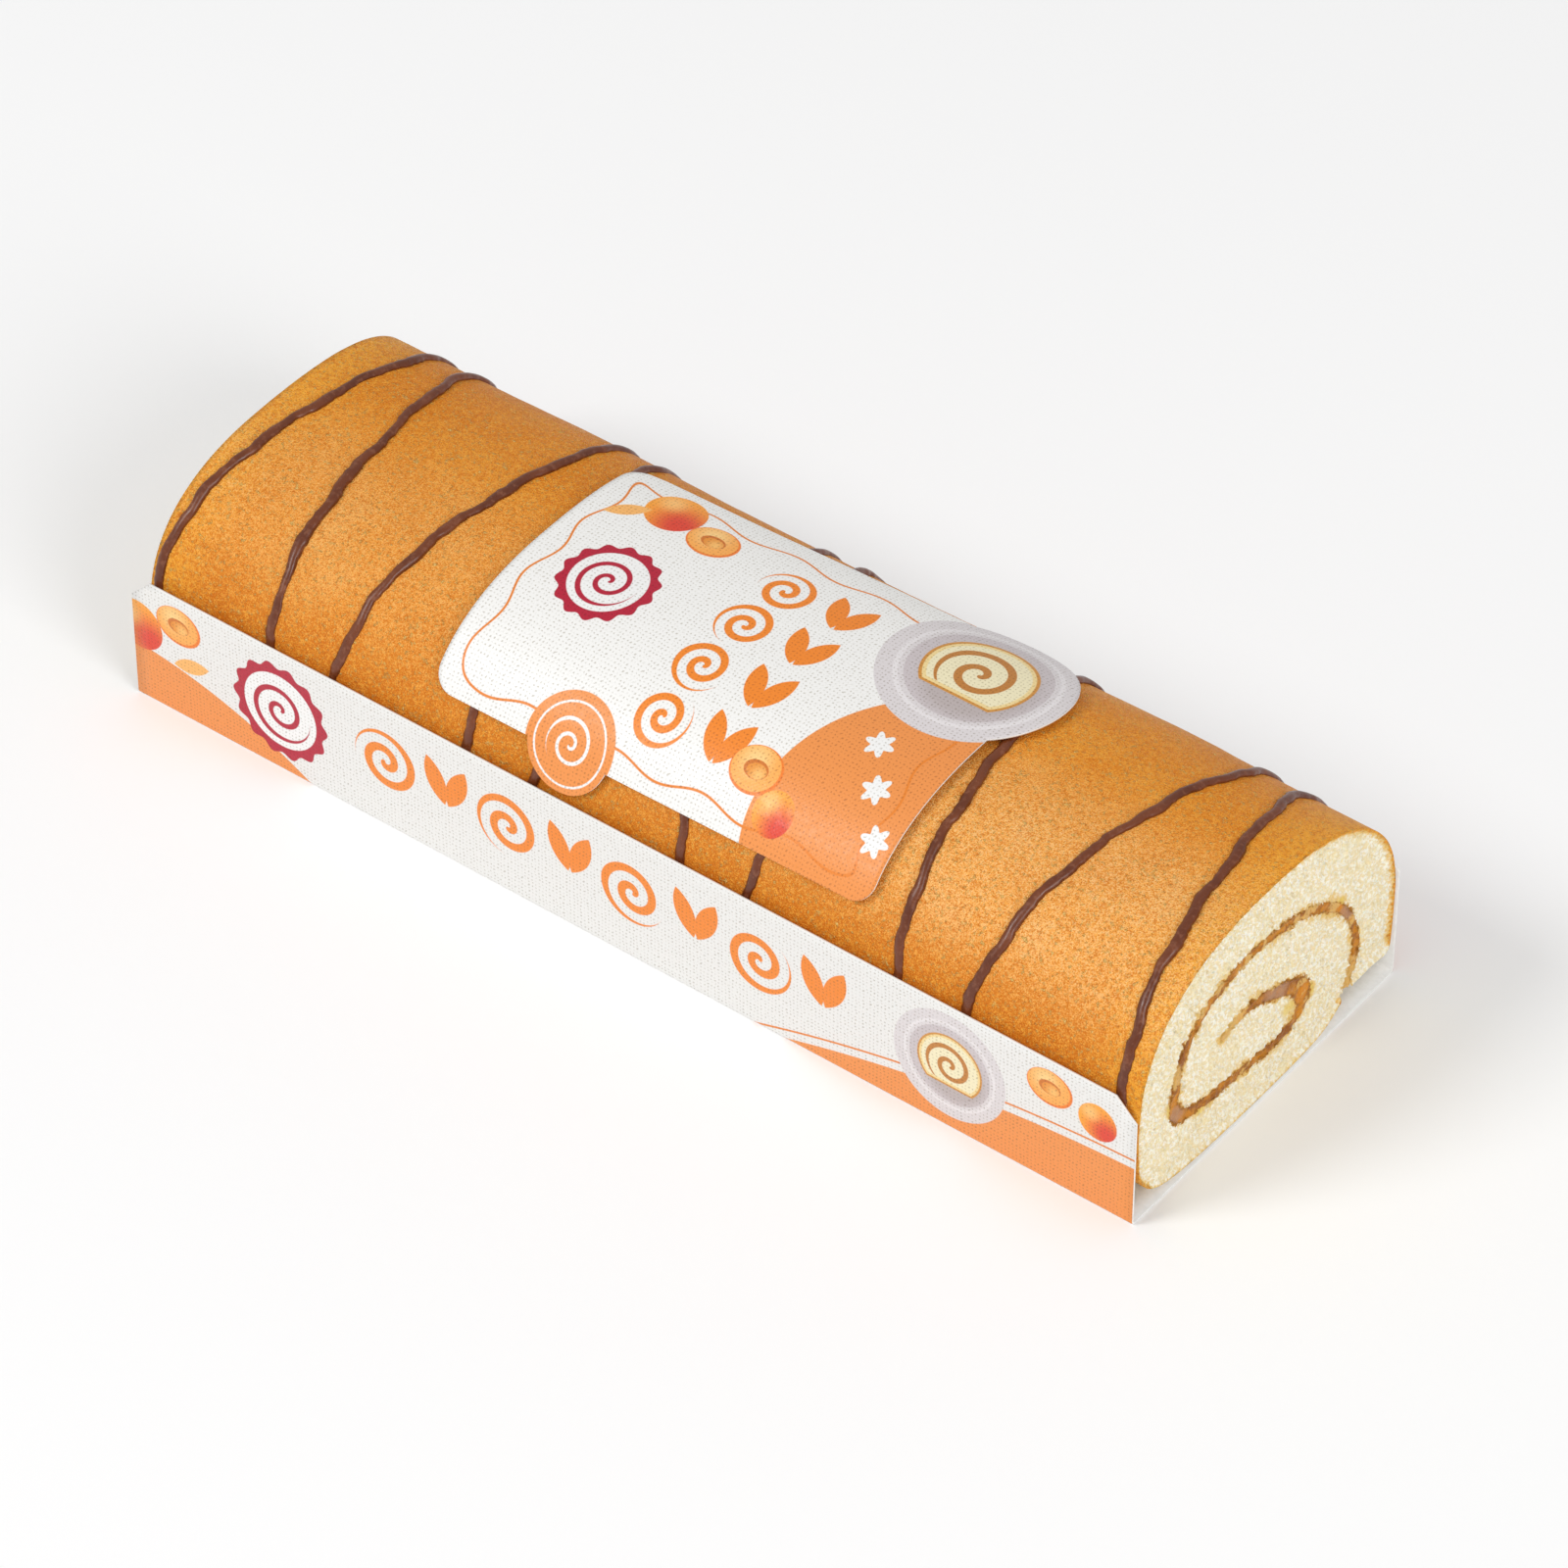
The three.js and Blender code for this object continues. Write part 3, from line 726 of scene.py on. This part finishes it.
def paintDesign(page, design):
    # the fields, then swirls and pairs of leaves by turns, then the single motifs
    for shape, ink, *place in design["fields"]:
        page.lay(shape(page, *place), ink)
    x, y, radius = design["swirl"]
    leafX, leafY, size = design["leaves"]
    for k in range(design["count"]):
        stepX, stepY = design["step"][0] * k, design["step"][1] * k
        turn = page.spiral(x + stepX, y + stepY, radius, radius * 0.56, radius * 0.26, 0.2 * k)
        page.lay(turn, "strong")
        for side, angle in ((-0.33, 1.95), (0.33, 1.19)):
            place = leafX + stepX + size * side, leafY + stepY
            page.lay(page.leaf(*place, size * 1.5, size * 0.6, angle), "strong")
    for paint, *place in design["motifs"]:
        paint(page, *place)
    for shape, ink, *place in design["details"]:
        page.lay(shape(page, *place), ink)


def dressCard(page, shader, place):
    weave = page.group(cardGroup, Place=place)
    page.colour = page.mix(page.times(weave["Shade"], 0.85), page.colour, printInk["weave"], "MULTIPLY")
    roughness = page.span(page.noise(place, 0.8), 0.3, 0.7, 0.38, 0.5)
    dress(page, shader, page.colour, roughness, page.bump(weave["Height"], 0.15, 0.08))


labelShape = {
    "thickness": 0.4, "rise": 1.55, "edgeRise": 1.05, "left": -50.0, "right": 59.5, "front": -42.8,
    "backLeft": 27.4, "backRight": 31.8, "corner": 5.0,
    "badge": (-15.6, -40.8, 10.0), "disc": (46.3, 15.0, 20.1),   # x, g, radius
    "sideStart": 34.0, "sideBlend": 14.0, "waver": 0.12, "waverRate": 0.05,
    "columns": 110, "spacing": 0.9, "leastStep": 0.11, "brink": 0.06, "tip": 0.02,
    "edgeSteps": (0.3, 0.6, 1, 1.5, 2.2, 3, 4),   # rows close to each edge
}

# Places and sizes of the print, in millimetres on the flat label
labelPrint = {
    "fields": [(Print.disc, "field", 77, -34, 50), (Print.wavyFrame, "line", 4.5, -8, 49.5, 30.5, 0.55)],
    "swirl": (0.5, 11.5, 6.3), "leaves": (15.0, 13.0, 7.4), "step": (0, -13.2), "count": 4,
    "motifs": [
        (paintMedallion, -30, -7, 10.5), (paintApricot, -33, 18.6, 6.6), (paintApricotHalf, -21, 15.5, 5.4),
        (paintApricotHalf, 24.5, -29, 5.4), (paintApricot, 32.5, -35, 4.6),
    ],
    "details": [(Print.leaf, "leaf", -41, 13.0, 10, 3.6, 0.7)] + [
        (Print.rosette, "white", 43 + 6 * k, -13 - 9 * k, 2.6, 6, 0.7) for k in range(3)],
    "plateMargin": 0.8,
}


def makeLabelMaterial():
    material, sheet, shader = newMaterial("printedLabel")
    flat = sheet.add("ShaderNodeUVMap", uv_map="print").outputs[0]
    page = Print(sheet.tree, sheet.axes(flat)[:2], "labelPaper")
    paintDesign(page, labelPrint)
    x, y, radius = labelShape["disc"]
    paintPlate(page, x, y, radius + labelPrint["plateMargin"])
    paintBadge(page, *labelShape["badge"])
    dressCard(page, shader, flat)
    return material


traySizes = {
    "length": 255.0, "width": 90.1, "wall": 32.6, "cut": 5.0, "board": 0.5, "fold": 1.0, "bow": 0.12,
    "columns": 64, "floorRows": 30,
}

# The print runs along both walls, in x and height
trayPrint = {
    "fields": [(Print.disc, "field", 140, -300, 316), (Print.ring, "line", 140, -300, 318.2, 0.5),
               (Print.disc, "field", -135, -95, 110)],
    "swirl": (-60, 18.0, 8.0), "leaves": (-44, 20.5, 8.2), "step": (32, 0), "count": 4,
    "motifs": [
        (paintApricot, -126, 20.0, 6.4), (paintApricotHalf, -115, 25.0, 5.4),
        (paintMedallion, -88, 16.5, 12.0), (paintPlate, 83, 17.0, 13.6),
        (paintApricotHalf, 107, 25.5, 5.0), (paintApricot, 118.5, 23.0, 4.6),
    ],
    "details": [(Print.leaf, "leaf", -112, 15.5, 10, 3.8, 0.3)],
}


def makeTrayPrintMaterial():
    material, sheet, shader = newMaterial("printedTray")
    x, _, z = sheet.axes(sheet.inMillimetres())
    page = Print(sheet.tree, (x, z), "paper")
    paintDesign(page, trayPrint)
    dressCard(page, shader, sheet.feed(sheet.add("ShaderNodeCombineXYZ"), x, z))
    return material


plainCardFinish = {"pale": (0.90, 0.89, 0.865), "grey": (0.84, 0.83, 0.80), "roughness": (0.6, 0.75)}


def makePlainCardMaterial():
    finish = plainCardFinish
    material, sheet, shader = newMaterial("plainCard")
    fibre = sheet.noise(sheet.inMillimetres(), 0.9, 4.0, 0.6)
    colour = sheet.mix(sheet.span(fibre, 0.35, 0.7), finish["pale"], finish["grey"])
    roughness = sheet.span(fibre, 0.3, 0.7, *finish["roughness"])
    dress(sheet, shader, colour, roughness, sheet.bump(fibre, 0.2, 0.08))
    return material


# Cut pieces: a prism along the roll whose two ends are fine grids

sideFace, cutFace, slotFace = 0, 1, 2   # kept as material slots while a piece is made


def prismAlongRoll(ring):
    bm = bmesh.new()
    start = bmesh.ops.create_circle(bm, cap_ends=False, radius=1, segments=len(ring))["verts"]
    for vert, (y, z) in zip(start, ring):
        vert.co = (rollShape["left"], y, z)
    grown = bmesh.ops.extrude_edge_only(bm, edges=bm.edges[:])["geom"]
    for vert in grown:
        if isinstance(vert, bmesh.types.BMVert):
            vert.co.x = rollShape["right"]
    rims = [edge for edge in bm.edges if len(edge.link_faces) == 1]
    for face in bmesh.ops.edgeloop_fill(bm, edges=rims)["faces"]:
        face.material_index = cutFace
    bmesh.ops.recalc_face_normals(bm, faces=bm.faces)
    return bm, start


def gridEnds(bm, spacing):
    for end in (rollShape["left"], rollShape["right"]):
        faces = [f for f in bm.faces
                 if f.material_index == cutFace and abs(f.calc_center_median().x - end) < 0.1]
        geom = set(faces)
        for face in faces:
            geom.update(face.edges)
            geom.update(face.verts)
        geom = list(geom)
        lows = [min(v.co[k] for f in faces for v in f.verts) for k in (1, 2)]
        highs = [max(v.co[k] for f in faces for v in f.verts) for k in (1, 2)]
        for axis, low, high in zip(((0, 1, 0), (0, 0, 1)), lows, highs):
            steps = int((high - low) / spacing)
            for i in range(1, steps + 1):
                at = low + (high - low) * (i - 0.37) / steps
                geom = bmesh.ops.bisect_plane(
                    bm, geom=geom, dist=0.01, plane_co=Vector(axis) * at, plane_no=axis)["geom"]


spongeMesh = {
    "outline": 1.35, "along": 1.6, "ends": 0.46, "relief": 0.30, "dimple": 0.07, "slotMargin": 0.05,
    "skinThin": 2.2, "skinPale": 0.55, "skinCut": 4, "farFromSkin": 6.0, "farFromJam": 9.0,
    "crumbDepth": 0.42, "swell": 0.18, "clumps": 0.55, "fluff": 0.85, "leastDepth": 0.05,
    "ragged": 0.36, "raggedReach": 1.3, "edgeBlend": 1.2, "slotBlend": 7,
    "leftSeed": 4.0, "rightSeed": 11.0,
    "soaked": [(7.6, 17.4, 2.6), (14.6, 17.0, 2.6), (-22, 13.0, 1.8),
               (-32.8, 21, 1.6), (24.5, 34.0, 1.8)],   # y, z, reach
}


def crumbRelief(y, z, seed):
    # how far the cut crumb lies behind the knife's plane
    s = spongeMesh
    p = Vector((y, z, seed))
    fluff = abs(noise.noise(p * 0.65)) + 0.9 * abs(noise.noise(p * 1.3))
    clumps = abs(noise.noise(p * 0.32))
    depth = s["swell"] * (noise.noise(p * 0.11) + 1) + s["clumps"] * clumps + s["fluff"] * fluff
    near, _ = noise.voronoi(p * 0.35)
    if noise.noise(p * 0.17 + Vector((9, 3, 1))) > 0.08:
        depth += s["crumbDepth"] * smooth((0.30 - near[0]) / 0.2)   # an open hole
    return depth + s["leastDepth"]


def skinDepth(y, z, away):
    # how deep under the baked skin a point of the cut counts, by the nearest outline point
    outerY = rollShape["seamOuter"][0]
    if y > outerY - 0.5 and z < rollShape["flapBottom"] + 1.2:
        return away + spongeMesh["skinCut"]   # the flap's cut edge has no skin
    if z < 5 and y < outerY:
        return away * spongeMesh["skinThin"] + spongeMesh["skinPale"]   # the underside
    return away


def fillShoulder(vert, x, y, z):
    r = rollShape
    c = (y / r["backHalf"]) ** (r["backPower"] / 2)
    s = ((z - r["domeBase"]) / (r["topHeight"] - r["domeBase"])) ** (r["backPower"] / 2)
    out = shoulderOut(x) * math.sin(2 * math.atan2(s, c)) ** 2 * smooth((c * c + s * s - 0.35) / 0.6)
    vert.co.y += out * r["shoulderNormal"][0]
    vert.co.z += out * r["shoulderNormal"][1]


def dimpleCrust(vert, normal, x, y, z):
    p = Vector((x, y, z))
    push = spongeMesh["relief"] * noise.noise(p * 0.035) + spongeMesh["dimple"] * noise.noise(p * 0.22)
    flat = normal.copy()
    flat.x = 0
    if flat.length > 0.1:
        vert.co += flat.normalized() * push * smooth((z - 3) / 8)


def tearEdge(vert, x, y, z):
    # the crumb beside the jam isn't cut clean
    p = Vector((y * 0.9, z * 0.9, x))
    apart, farApart = Vector((7, 7, 7)), Vector((3, 3, 3))
    vert.co.y += spongeMesh["ragged"] * (noise.noise(p) + noise.noise(p * 0.4))
    vert.co.z += spongeMesh["ragged"] * (noise.noise(p + apart) + noise.noise(p * 0.4 + farApart))


def splitCrust(bm, start, crustCount):
    # cuts the crust's long faces into short ones and marks the walls of the jam's slot
    order = {vert: i for i, vert in enumerate(start)}
    crustEdges = []
    for edge in bm.edges:
        a, b = edge.verts
        if abs(a.co.x - b.co.x) > 1 and order[a if a in order else b] < crustCount:
            crustEdges.append(edge)
    for face in bm.faces:
        if face.material_index == sideFace:
            firsts = [order[v] for v in face.verts if v in order]
            face.material_index = sideFace if max(firsts) < crustCount else slotFace
    cuts = round((rollShape["right"] - rollShape["left"]) / spongeMesh["along"] * detail)
    bmesh.ops.subdivide_edges(bm, edges=crustEdges, cuts=cuts, use_grid_fill=True)


def buildSponge(material):
    settings, r = spongeMesh, rollShape
    crust = rollOutline(settings["outline"] / detail)
    left, right = jamSides(settings["slotMargin"])
    bm, start = prismAlongRoll(crust + right[1:] + list(reversed(left[1:])))
    splitCrust(bm, start, len(crust))
    gridEnds(bm, settings["ends"] / detail)

    # depth under the skin and distance from the jam, read by the finish
    fine = rollOutline(0.3)
    skinTree = nearTree(fine)
    jamTree = nearTree([p for side in jamSides(0) for p in resample(side, 0.4)])
    crustLayer, lowLayer, endLayer, soakedLayer, tailLayer, jamLayer = newLayers(
        bm, "crustDepth", "crumbLow", "endAway", "soaked", "tail", "jamDepth")
    bm.normal_update()
    normals = {vert: vert.normal.copy() for vert in bm.verts}
    for vert in bm.verts:
        kinds = {face.material_index for face in vert.link_faces}
        x, y, z = vert.co
        _, skinIndex, away = skinTree.find((y, z, 0))
        jamAway = jamTree.find((y, z, 0))[2]
        deep = skinDepth(*fine[skinIndex], away)
        vert[crustLayer] = settings["farFromSkin"] if kinds == {slotFace} else deep
        vert[jamLayer] = settings["farFromJam"] if kinds == {sideFace} else jamAway
        vert[endLayer] = min(x - r["left"], r["right"] - x)

        # sizes along the roll: the dome sinks to the left, and the slot follows it
        zDome = sunkHeight(x, z, r["domeBase"]) if z > r["domeBase"] else z
        vert.co.z = lerp(zDome, sunkHeight(x, z, r["bottom"]), smooth(away / settings["slotBlend"]))
        if y > 0 and z > r["domeBase"]:
            fillShoulder(vert, x, y, z)
        if sideFace in kinds:
            dimpleCrust(vert, normals[vert], x, y, z)
        if cutFace in kinds:
            relief = crumbRelief(y, z, settings["leftSeed"] if x < 0 else settings["rightSeed"])
            vert[lowLayer] = relief
            vert[soakedLayer] = nearSpots(y, z, settings["soaked"])
            vert[tailLayer] = nearSpots(y, z, jamShape["tails"])
            behind = lerp(settings["leastDepth"], relief, smooth(away / settings["edgeBlend"]))
            vert.co.x += behind if x < 0 else -behind
            if slotFace in kinds or jamAway < settings["raggedReach"]:
                tearEdge(vert, x, y, z)
        vert.co.y += r["centreY"]
    for face in bm.faces:
        face.material_index = 0
    return finishPiece(bm, "sponge_roll", [material], "sponge", "sponge")


jamMesh = {
    "ends": 0.4, "overlap": 0.2, "recess": 0.45, "lumps": 0.45,
    "paintedSheens": [(-30.6, 18, 3.4), (3.0, 26, 5.5), (27.5, 29, 4.0)],   # y, z and reach of the painted sheen on the jam
    "clear": [(12.4, 18.0, 3.2), (24.0, 33.0, 2.5)],   # and of the clear amber
}


def buildJam(material):
    left, right = jamSides(jamMesh["overlap"])
    bm, _ = prismAlongRoll(right + list(reversed(left)))
    gridEnds(bm, jamMesh["ends"] / detail)
    edgeTree = nearTree([p for side in (left, right) for p in resample(side, 0.4)])
    rimLayer, sheenLayer, clearLayer, tailLayer = newLayers(bm, "rimAway", "pooled", "clear", "tail")
    for vert in bm.verts:
        x, y, z = vert.co
        vert[rimLayer] = edgeTree.find((y, z, 0))[2]
        # where the painted sheen lies on the jam, read by its finish
        vert[sheenLayer] = nearSpots(y, z, jamMesh["paintedSheens"], 1.4)
        vert[clearLayer] = nearSpots(y, z, jamMesh["clear"])
        vert[tailLayer] = nearSpots(y, z, jamShape["tails"])
        vert.co.z = sunkHeight(x, z, rollShape["bottom"])
        if any(face.material_index == cutFace for face in vert.link_faces):
            p = Vector((y, z, x))
            lumps = jamMesh["lumps"] * (noise.noise(p * 0.45) + 0.5 * noise.noise(p * 1.1))
            behind = jamMesh["recess"] + max(lumps + 0.2, 0)
            vert.co.x += behind if x < 0 else -behind
        vert.co.y += rollShape["centreY"]
    for face in bm.faces:
        face.material_index = 0
    return finishPiece(bm, "jam_spiral", [material], "jam", "jam_filling")


drizzleShape = {
    "width": 2.25, "height": 1.05, "sideHeight": 0.7, "depth": 0.7, "reach": 58.0, "crest": 31.0,
    "sideStart": 34.0, "sideBlend": 10, "tipLength": 3, "tipWidth": 0.35, "endGap": 2,
    "step": 0.6, "around": 14,
    "frontTurns": [-131.6, -83.3, -31.5, 22.5, 76.5, 130.7], "backTurns": [-105.7, -56.0, -3.0, 52.0, 106.7],
    "frontHalf": 7.8, "backHalf": 5.3, "forwardPower": 1.0, "returnPower": 1.4,
    "phases": (1.7, 0.9), "wavers": [(0.32, 0.31, 1.0), (0.14, 0.73, 2.3)],   # reach, rate, phase
    "swell": 0.26, "heightSwell": 0.22, "ragged": 0.10, "wander": 0.16, "edge": 0.22,
}


def drizzleX(g, frontX, backX, power, phase):
    d = drizzleShape
    climb = clamp((g + d["reach"]) / (d["crest"] + d["reach"]))
    waver = sum(reach * math.sin(g * rate + turn * phase) for reach, rate, turn in d["wavers"])
    x = lerp(frontX, backX, climb ** power) + waver
    return min(max(x, rollShape["left"] + d["endGap"]), rollShape["right"] - d["endGap"])


def drizzleStation(g, *run):
    # the middle, the directions and the sizes of one drizzle line at g
    d, phase = drizzleShape, run[-1]
    ahead, behind = min(g + 0.5, d["reach"]), max(g - 0.5, -d["reach"])
    centre, normal = onCrust(drizzleX(g, *run), g)
    after, before = (onCrust(drizzleX(at, *run), at)[0] for at in (ahead, behind))
    across = (after - before).normalized().cross(normal).normalized()
    swell = noiseAt(g * 0.12, phase * 7, 0)
    ragged = noiseAt(g * 0.9, phase * 5, 2)
    width = d["width"] * (1 + d["swell"] * swell + d["ragged"] * ragged)
    side = smooth((abs(g) - d["sideStart"]) / d["sideBlend"])
    height = lerp(d["height"], d["sideHeight"], side) * (1 + d["heightSwell"] * swell)
    tip = clamp((d["reach"] - abs(g)) / d["tipLength"])
    wander = d["wander"] * noiseAt(g * 0.5, phase * 3, 5)
    return centre + across * wander, normal, across, width * lerp(d["tipWidth"], 1, tip), height * tip


def buildRun(*run):
    d, phase = drizzleShape, run[-1]
    rows = round(2 * d["reach"] / d["step"] * detail)
    stations = [drizzleStation(lerp(-d["reach"], d["reach"], i / rows), *run) for i in range(rows + 1)]

    def place(u, v):
        centre, normal, across, width, height = stations[round(v * rows)]
        angle = 2 * math.pi * u
        out, up = math.cos(angle), math.sin(angle)
        rise = height * up ** 0.85 if up > 0 else d["depth"] * up
        edge = 1 + d["edge"] * noiseAt(v * rows * 0.42, 3 * out, phase)
        return centre + across * (out * edge * width / 2) + normal * rise

    bm = gridPiece(d["around"], rows, place)
    bmesh.ops.remove_doubles(bm, verts=bm.verts, dist=0.001)
    rims = [edge for edge in bm.edges if len(edge.link_faces) == 1]
    bmesh.ops.edgeloop_fill(bm, edges=rims)
    bmesh.ops.recalc_face_normals(bm, faces=bm.faces)
    return bm


def buildDrizzle(material):
    d = drizzleShape
    perTurn, backPhase = d["phases"]
    joined = bmesh.new()
    for i, back in enumerate(d["backTurns"]):
        front, nextFront = d["frontTurns"][i] + d["frontHalf"], d["frontTurns"][i + 1] - d["frontHalf"]
        for run in ((front, back - d["backHalf"], d["forwardPower"], perTurn * i),
                    (nextFront, back + d["backHalf"], d["returnPower"], perTurn * i + backPhase)):
            mesh = meshFrom(buildRun(*run), "run")
            joined.from_mesh(mesh)
            bpy.data.meshes.remove(mesh)
    return finishPiece(joined, "chocolate_drizzle", [material], "sponge", "sponge")


def cornerInset(gap):
    # how far a rounded corner of the label stands in, this far from its edge
    corner = labelShape["corner"]
    d = clamp(1 - gap / corner)
    return corner * (1 - math.sqrt(1 - d * d))


def labelSpan(g):
    # the label's reach in x at distance g
    s = labelShape
    spans = []
    if s["front"] <= g <= s["backRight"]:
        front = cornerInset(g - s["front"])
        slant = clamp((g - s["backLeft"]) / (s["backRight"] - s["backLeft"]))
        corner = s["left"] + max(front, cornerInset(max(s["backLeft"] - g, 0)))
        left = max(corner, lerp(s["left"], s["right"], slant))
        right = s["right"] - max(front, cornerInset(s["backRight"] - g))
        if right > left:
            spans.append((left, right))
    for x, y, radius in (s["badge"], s["disc"]):
        half = math.sqrt(max(radius * radius - (g - y) ** 2, 0))
        if half > 0:
            spans.append((x - half, x + half))
    return min(a for a, b in spans), max(b for a, b in spans)


def labelRows():
    # the places g of the label's rows of faces, closer together at its edges
    s = labelShape
    first = s["badge"][1] - s["badge"][2] + s["tip"]
    last = s["disc"][1] + s["disc"][2] - s["tip"]
    count = round((last - first) / s["spacing"] * detail)
    wanted = [s["front"] - s["brink"], s["front"] + s["brink"]]
    wanted += [lerp(first, last, i / count) for i in range(count + 1)]
    for edge in (s["front"], s["backLeft"], s["backRight"], first, last):
        wanted += [edge + side * step for step in s["edgeSteps"] for side in (-1, 1)]
    rows = []
    for g in sorted(g for g in wanted if first <= g <= last):
        if not rows or g - rows[-1] > s["leastStep"]:
            rows.append(g)
    return rows


def onLabel(x, g, depth):
    s = labelShape
    rise = lerp(s["rise"], s["edgeRise"], smooth((-g - s["sideStart"]) / s["sideBlend"]))
    waver = s["waver"] * noiseAt(x * s["waverRate"], g * s["waverRate"], 3)
    return onCrust(x, g, rise + s["thickness"] - depth + waver)[0]


def buildLabel(printed, plain):
    rows = labelRows()
    spans = [labelSpan(g) for g in rows]
    last = len(rows) - 1

    def place(u, v):
        k = round(v * last)
        return Vector((lerp(*spans[k], u), rows[k], 0))

    bm = gridPiece(labelShape["columns"], last, place)
    uv = bm.loops.layers.uv.new("print")
    under = bmesh.ops.extrude_face_region(bm, geom=bm.faces[:], use_keep_orig=True)["geom"]
    underVerts = {vert for vert in under if isinstance(vert, bmesh.types.BMVert)}
    underFaces = {face for face in under if isinstance(face, bmesh.types.BMFace)}
    for face in bm.faces:
        rim = len({vert in underVerts for vert in face.verts}) == 2
        face.material_index = 1 if rim or face in underFaces else 0
        for loop in face.loops:
            loop[uv].uv = loop.vert.co.xy
    for vert in bm.verts:
        vert.co = onLabel(vert.co.x, vert.co.y, labelShape["thickness"] if vert in underVerts else 0)
    bmesh.ops.recalc_face_normals(bm, faces=bm.faces)
    return finishPiece(bm, "wrap_label", [printed, plain], "label_card", "label")


def buildTray(printed, plain):
    t = traySizes
    half, fold, wall = t["width"] / 2, t["fold"], t["wall"]
    profile = [(-half, wall - 0.01 * k * wall) for k in range(0, 90, 6)]
    profile += [(-half + fold * inward, fold * up) for inward, up in cornerTurn()]
    mirrored = [(-y, z) for y, z in reversed(profile)]
    floorRows = t["floorRows"]
    profile += [(lerp(-half + fold, half - fold, k / floorRows), 0.0) for k in range(1, floorRows)]
    profile += mirrored
    last = len(profile) - 1

    def place(u, v):
        y, z = profile[round(v * last)]
        x = lerp(-t["length"] / 2, t["length"] / 2, u)
        bow = t["bow"] * math.sin(math.pi * u) * smooth(z / wall) * math.copysign(1, y)
        return Vector((x, y - bow, z))

    bm = gridPiece(t["columns"], last, place)
    for side in (-1, 1):
        corner = Vector((side * (t["length"] / 2 - t["cut"]), 0, wall))
        bmesh.ops.bisect_plane(bm, geom=bm.verts[:] + bm.edges[:] + bm.faces[:], dist=0.001,
                               plane_co=corner, plane_no=Vector((side, 0, 1)).normalized(), clear_outer=True)
    bm.normal_update()
    floor = [f for f in bm.faces if f.calc_center_median().z < 0.01]
    if sum(f.normal.z for f in floor) > 0:
        bmesh.ops.reverse_faces(bm, faces=bm.faces)
    outer = {face for face in bm.faces if face.calc_center_median().z > 0.3}
    bmesh.ops.solidify(bm, geom=list(bm.faces), thickness=t["board"])
    for face in bm.faces:
        face.material_index = 0 if face in outer else 1
    return finishPiece(bm, "card_tray", [printed, plain], "tray_card", "tray")


plainCard = makePlainCardMaterial()
buildSponge(makeSpongeMaterial())
buildJam(makeJamMaterial())
buildDrizzle(makeChocolateMaterial())
buildLabel(makeLabelMaterial(), plainCard)
buildTray(makeTrayPrintMaterial(), plainCard)


# Studio: pale floor, soft lights and a camera at the photograph's angle

studio = {
    "azimuth": 37.5, "elevation": 42.59, "distance": 1.6, "lens": 183.13,
    "target": (0.01635, -0.0113, 0.030),
    "worldStrength": 0.56, "floorColour": (0.97, 0.97, 0.97, 1), "floorRoughness": 0.6, "floorSize": 3.0,
    # azimuth, elevation, distance, size, power
    "lights": {"keyLight": (-32, 42, 3.2, 1.3, 40.0), "fillLight": (72, 32, 3.2, 1.6, 37.0)},
    "lightTarget": (0, 0, 0.03),
}


def pointAt(thing, target):
    thing.rotation_mode = "QUATERNION"
    thing.rotation_quaternion = (Vector(target) - thing.location).to_track_quat("-Z", "Y")


def directionFrom(azimuth, elevation):
    a, e = math.radians(azimuth), math.radians(elevation)
    return Vector((math.sin(a) * math.cos(e), -math.cos(a) * math.cos(e), math.sin(e)))


def buildStudio():
    scene = bpy.context.scene
    scene.view_settings.view_transform = "Standard"
    scene.view_settings.look = "None"
    world = bpy.data.worlds.new("studioWorld")
    world.use_nodes = True
    background = world.node_tree.nodes["Background"]
    background.inputs["Color"].default_value = (1, 1, 1, 1)
    background.inputs["Strength"].default_value = studio["worldStrength"]
    scene.world = world

    bm = bmesh.new()
    bmesh.ops.create_grid(bm, x_segments=4, y_segments=4, size=studio["floorSize"])
    floor = addThing("studio_floor", meshFrom(bm, "studio_floor"))
    material, _, shader = newMaterial("paleFloor")
    shader.inputs["Base Color"].default_value = studio["floorColour"]
    shader.inputs["Roughness"].default_value = studio["floorRoughness"]
    floor.data.materials.append(material)

    for name, (azimuth, elevation, distance, size, power) in studio["lights"].items():
        lamp = bpy.data.lights.new(name, "AREA")
        lamp.shape = "DISK"
        lamp.size = size
        lamp.energy = power
        light = addThing(name, lamp)
        light.location = directionFrom(azimuth, elevation) * distance
        pointAt(light, studio["lightTarget"])

    lens = bpy.data.cameras.new("photoCamera")
    lens.sensor_width = 36
    lens.lens = studio["lens"]
    lens.clip_start, lens.clip_end = 0.05, 20
    camera = addThing("photoCamera", lens)
    back = directionFrom(studio["azimuth"], studio["elevation"])
    camera.location = Vector(studio["target"]) + back * studio["distance"]
    pointAt(camera, studio["target"])
    scene.camera = camera
    print("studio ready")


buildStudio()
